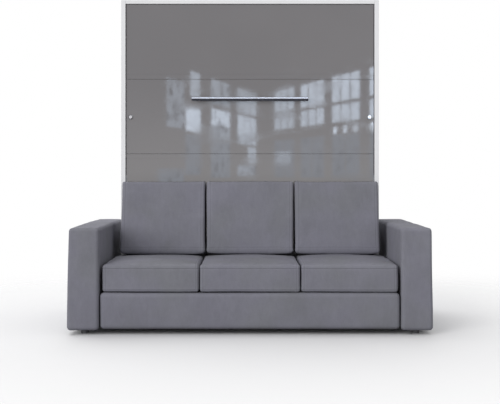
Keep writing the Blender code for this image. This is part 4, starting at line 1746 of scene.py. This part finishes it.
@dataclass
class Hall:
    """What the glossy front mirrors: two rows of windows that meet at the hall's far end.

    Attributes:
        eye_height: The height that the panes are measured from.
        glow: How brightly the clearest window shines.
        bar: The width of the bars between panes.
        sill: The lower edge of the right-hand windows, above eye height.
        rail: Their cross rail's height above eye height.
        head: Their upper edge above eye height.
        pitch: From one right-hand window to the next.
        width: Their width.
        dusk: How brightly the hall's end shines at its foot and at its head.
        dusk_heights: Where that change starts and ends, above eye height.
        end_reach: How far the hall's end reaches to each side, and up and down.
        end_y: Where it stands.
        haze: How much the end's glow changes from place to place.
        dusk_colours: The end's colours at its foot and at its head.
        window_glows: How bright each right-hand window is.
        lower_share: How bright a window is below its rail, as a share of that.
        field_low: The lower edge of the dim fields under the windows, above eye height.
        field_drop: How far their upper edges lie below the sill.
        field_glow: How bright they are.
        lamp_windows: The right-hand windows that lamps hang below.
        lamp_starts: Where the lamps start beside each of them.
        lamp_width: The lamps' width.
        lamp_drops: How far the lamps' lower and upper edges hang below the sill.
        lamp_glow: How much brighter they get from window to window.
        daylight: The windows' colour.
    """

    eye_height: float
    glow: float = 11.0
    bar: float = 0.055
    sill: float = 0.79
    rail: float = 1.09
    head: float = 1.53
    pitch: float = 1.595
    width: float = 1.20
    dusk: tuple[float, float] = (2.5, 1.12)
    dusk_heights: tuple[float, float] = (-0.6, 2.8)
    end_reach: float = 14.0
    end_y: float = -21.0
    haze: float = 0.12
    dusk_colours: tuple[Colour, Colour] = ((1.0, 0.98, 0.965), (1.0, 0.975, 1.0))
    window_glows: tuple[float, ...] = (0.80, 0.95, 1.0, 1.0, 0.9)
    lower_share: float = 0.94
    field_low: float = -0.10
    field_drop: float = 0.20
    field_glow: float = 0.27
    lamp_windows: tuple[int, ...] = (2, 3, 4)
    lamp_starts: tuple[float, ...] = (0.05, 0.50, 0.95)
    lamp_width: float = 0.16
    lamp_drops: tuple[float, float] = (0.18, 0.07)
    lamp_glow: float = 0.62
    daylight: Colour = (0.74, 0.85, 1.0)

    def walls(self) -> list[HallWall]:
        """The two walls. Trees outside dim the left-hand row, so its fields differ.

        Returns:
            The right-hand wall and the left-hand one.
        """
        clear = []
        for index, glow in enumerate(self.window_glows):
            for low, high, shine, columns, leaves in (
                    (self.sill, self.rail - self.bar / 2, glow * self.lower_share, 3, 0.2),
                    (self.rail + self.bar / 2, self.head, glow, 3, 0.2),
                    (self.field_low, self.sill - self.field_drop, self.field_glow, 2, 0.3)):
                clear.append(Pane(index * self.pitch, self.width, low, high, shine, columns, leaves))
        foot, head = [self.sill - drop for drop in self.lamp_drops]
        for index in self.lamp_windows:
            for lamp in self.lamp_starts:
                start = index * self.pitch + lamp
                clear.append(Pane(start, self.lamp_width, foot, head, self.lamp_glow * index, 1, 0.0))
        clear.append(Pane(0.0, 1.0, 0.13, 0.38, 0.62, 1, 0.4))
        leafy = (Pane(0.0, 1.62, 1.07, 1.50, 0.74, 3, 0.35), Pane(0.0, 1.62, 0.68, 1.02, 0.95, 3, 0.5),
                 Pane(0.0, 1.62, 0.50, 0.68, 0.80, 1, 0.9), Pane(0.0, 0.75, 0.16, 0.46, 0.72, 1, 0.8),
                 Pane(0.0, 1.62, -0.08, 0.12, 0.55, 1, 0.8), Pane(2.24, 1.36, 1.09, 1.50, 0.52, 2, 0.9),
                 Pane(2.24, 1.36, 0.76, 1.02, 1.05, 1, 0.6), Pane(2.24, 1.36, 0.52, 0.76, 0.52, 1, 1.0),
                 Pane(2.24, 1.36, -0.1, 0.50, 0.34, 1, 0.5),
                 Pane(4.30, 0.56, 1.12, 1.50, 0.66), Pane(4.26, 0.86, 0.60, 0.95, 1.12),
                 Pane(4.26, 0.86, -0.05, 0.55, 0.29, 1, 0.4), Pane(5.20, 0.90, 0.62, 1.30, 0.42, 1, 0.9),
                 Pane(5.20, 1.3, -0.20, 0.04, 0.31, 1, 0.5))
        return [HallWall(origin=(0.472, -12.6), way=(0.27, 0.963), panes=tuple(clear)),
                HallWall(origin=(0.116, -12.84), way=(-0.206, 0.979), panes=leafy)]

    def build(self) -> None:
        """Builds the windows and the hall's end as meshes that only mirrors show."""
        points = []
        faces = []
        values = {"glow": [], "leaves": []}
        for wall in self.walls():
            for pane in wall.panes:
                self.window(points, faces, wall, pane)
                values["glow"] += [pane.glow] * pane.columns
                values["leaves"] += [pane.leaves] * pane.columns
        windows = self.mirrored("hall_windows", points, faces)
        for name, row in values.items():
            windows.data.attributes.new(name, "FLOAT", "FACE").data.foreach_set("value", row)
        tree = self.shining(windows)
        foliage = tree.noise((4.6, 4.6, 6.5), detail=4.0, roughness=0.62, warp=0.4).ramp(0.50, 0.64)
        strength = tree.painted("glow") * self.glow * (1 - tree.painted("leaves") * foliage)
        tree.shine(self.daylight, strength)
        self.far_end()

    def far_end(self) -> None:
        """The hall's dim end wall, paler towards its foot."""
        corners = [(side * self.end_reach, self.end_y, level * self.end_reach)
                   for side, level in ((-1, -1), (1, -1), (1, 1), (-1, 1))]
        tree = self.shining(self.mirrored("hall_end", corners, [(0, 1, 2, 3)]))
        foot, head = self.dusk
        rise = tree.axis(Axis.Z).ramp(*[self.eye_height + height for height in self.dusk_heights])
        haze = tree.noise((0.5, 0.5, 0.8), detail=2.0)
        strength = (foot + rise * (head - foot)) * (1 - self.haze / 2 + haze * self.haze)
        tree.shine(tree.mix(rise, *self.dusk_colours), strength)

    def mirrored(self, name: str, points: list, faces: list) -> bpy.types.Object:
        """Makes a mesh of the studio that only glossy rays see.

        Args:
            name: Its name.
            points: Its points.
            faces: Its faces.

        Returns:
            The object.
        """
        made = placed_mesh(name, points, faces)
        made.visible_camera = False
        made.visible_diffuse = False
        made.visible_shadow = False
        return made

    def shining(self, made: bpy.types.Object) -> ShaderTree:
        """Gives a mesh a material of its own that can shine.

        Args:
            made: The mesh object.

        Returns:
            The material's tree.
        """
        material, tree = new_material(made.name)
        made.data.materials.append(material)
        return tree

    def window(self, points: list, faces: list, wall: HallWall, pane: Pane) -> None:
        """Adds one bright field to a wall, parted into its columns.

        Args:
            points: The mesh's points so far.
            faces: Its faces so far.
            wall: The wall it is on.
            pane: The field.
        """
        way = Vector(wall.way).normalized()
        width = (pane.width - (pane.columns - 1) * self.bar) / pane.columns
        low_z = self.eye_height + pane.low
        high_z = self.eye_height + pane.high
        for column in range(pane.columns):
            near = Vector(wall.origin) + way * (pane.start + column * (width + self.bar))
            far = near + way * width
            first = len(points)
            points += [(near.x, near.y, low_z), (far.x, far.y, low_z), (far.x, far.y, high_z),
                       (near.x, near.y, high_z)]
            faces.append((first, first + 1, first + 2, first + 3))


def main() -> None:
    """Loads the frame and dresses it."""
    logging.basicConfig(level=logging.INFO, format="%(message)s")
    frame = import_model()
    workshop = Workshop(frame)
    workshop.finish_nodes()
    Studio().build()
    Sofa().build(workshop)
    Mattress().build(workshop)


if __name__ == "__main__":
    main()
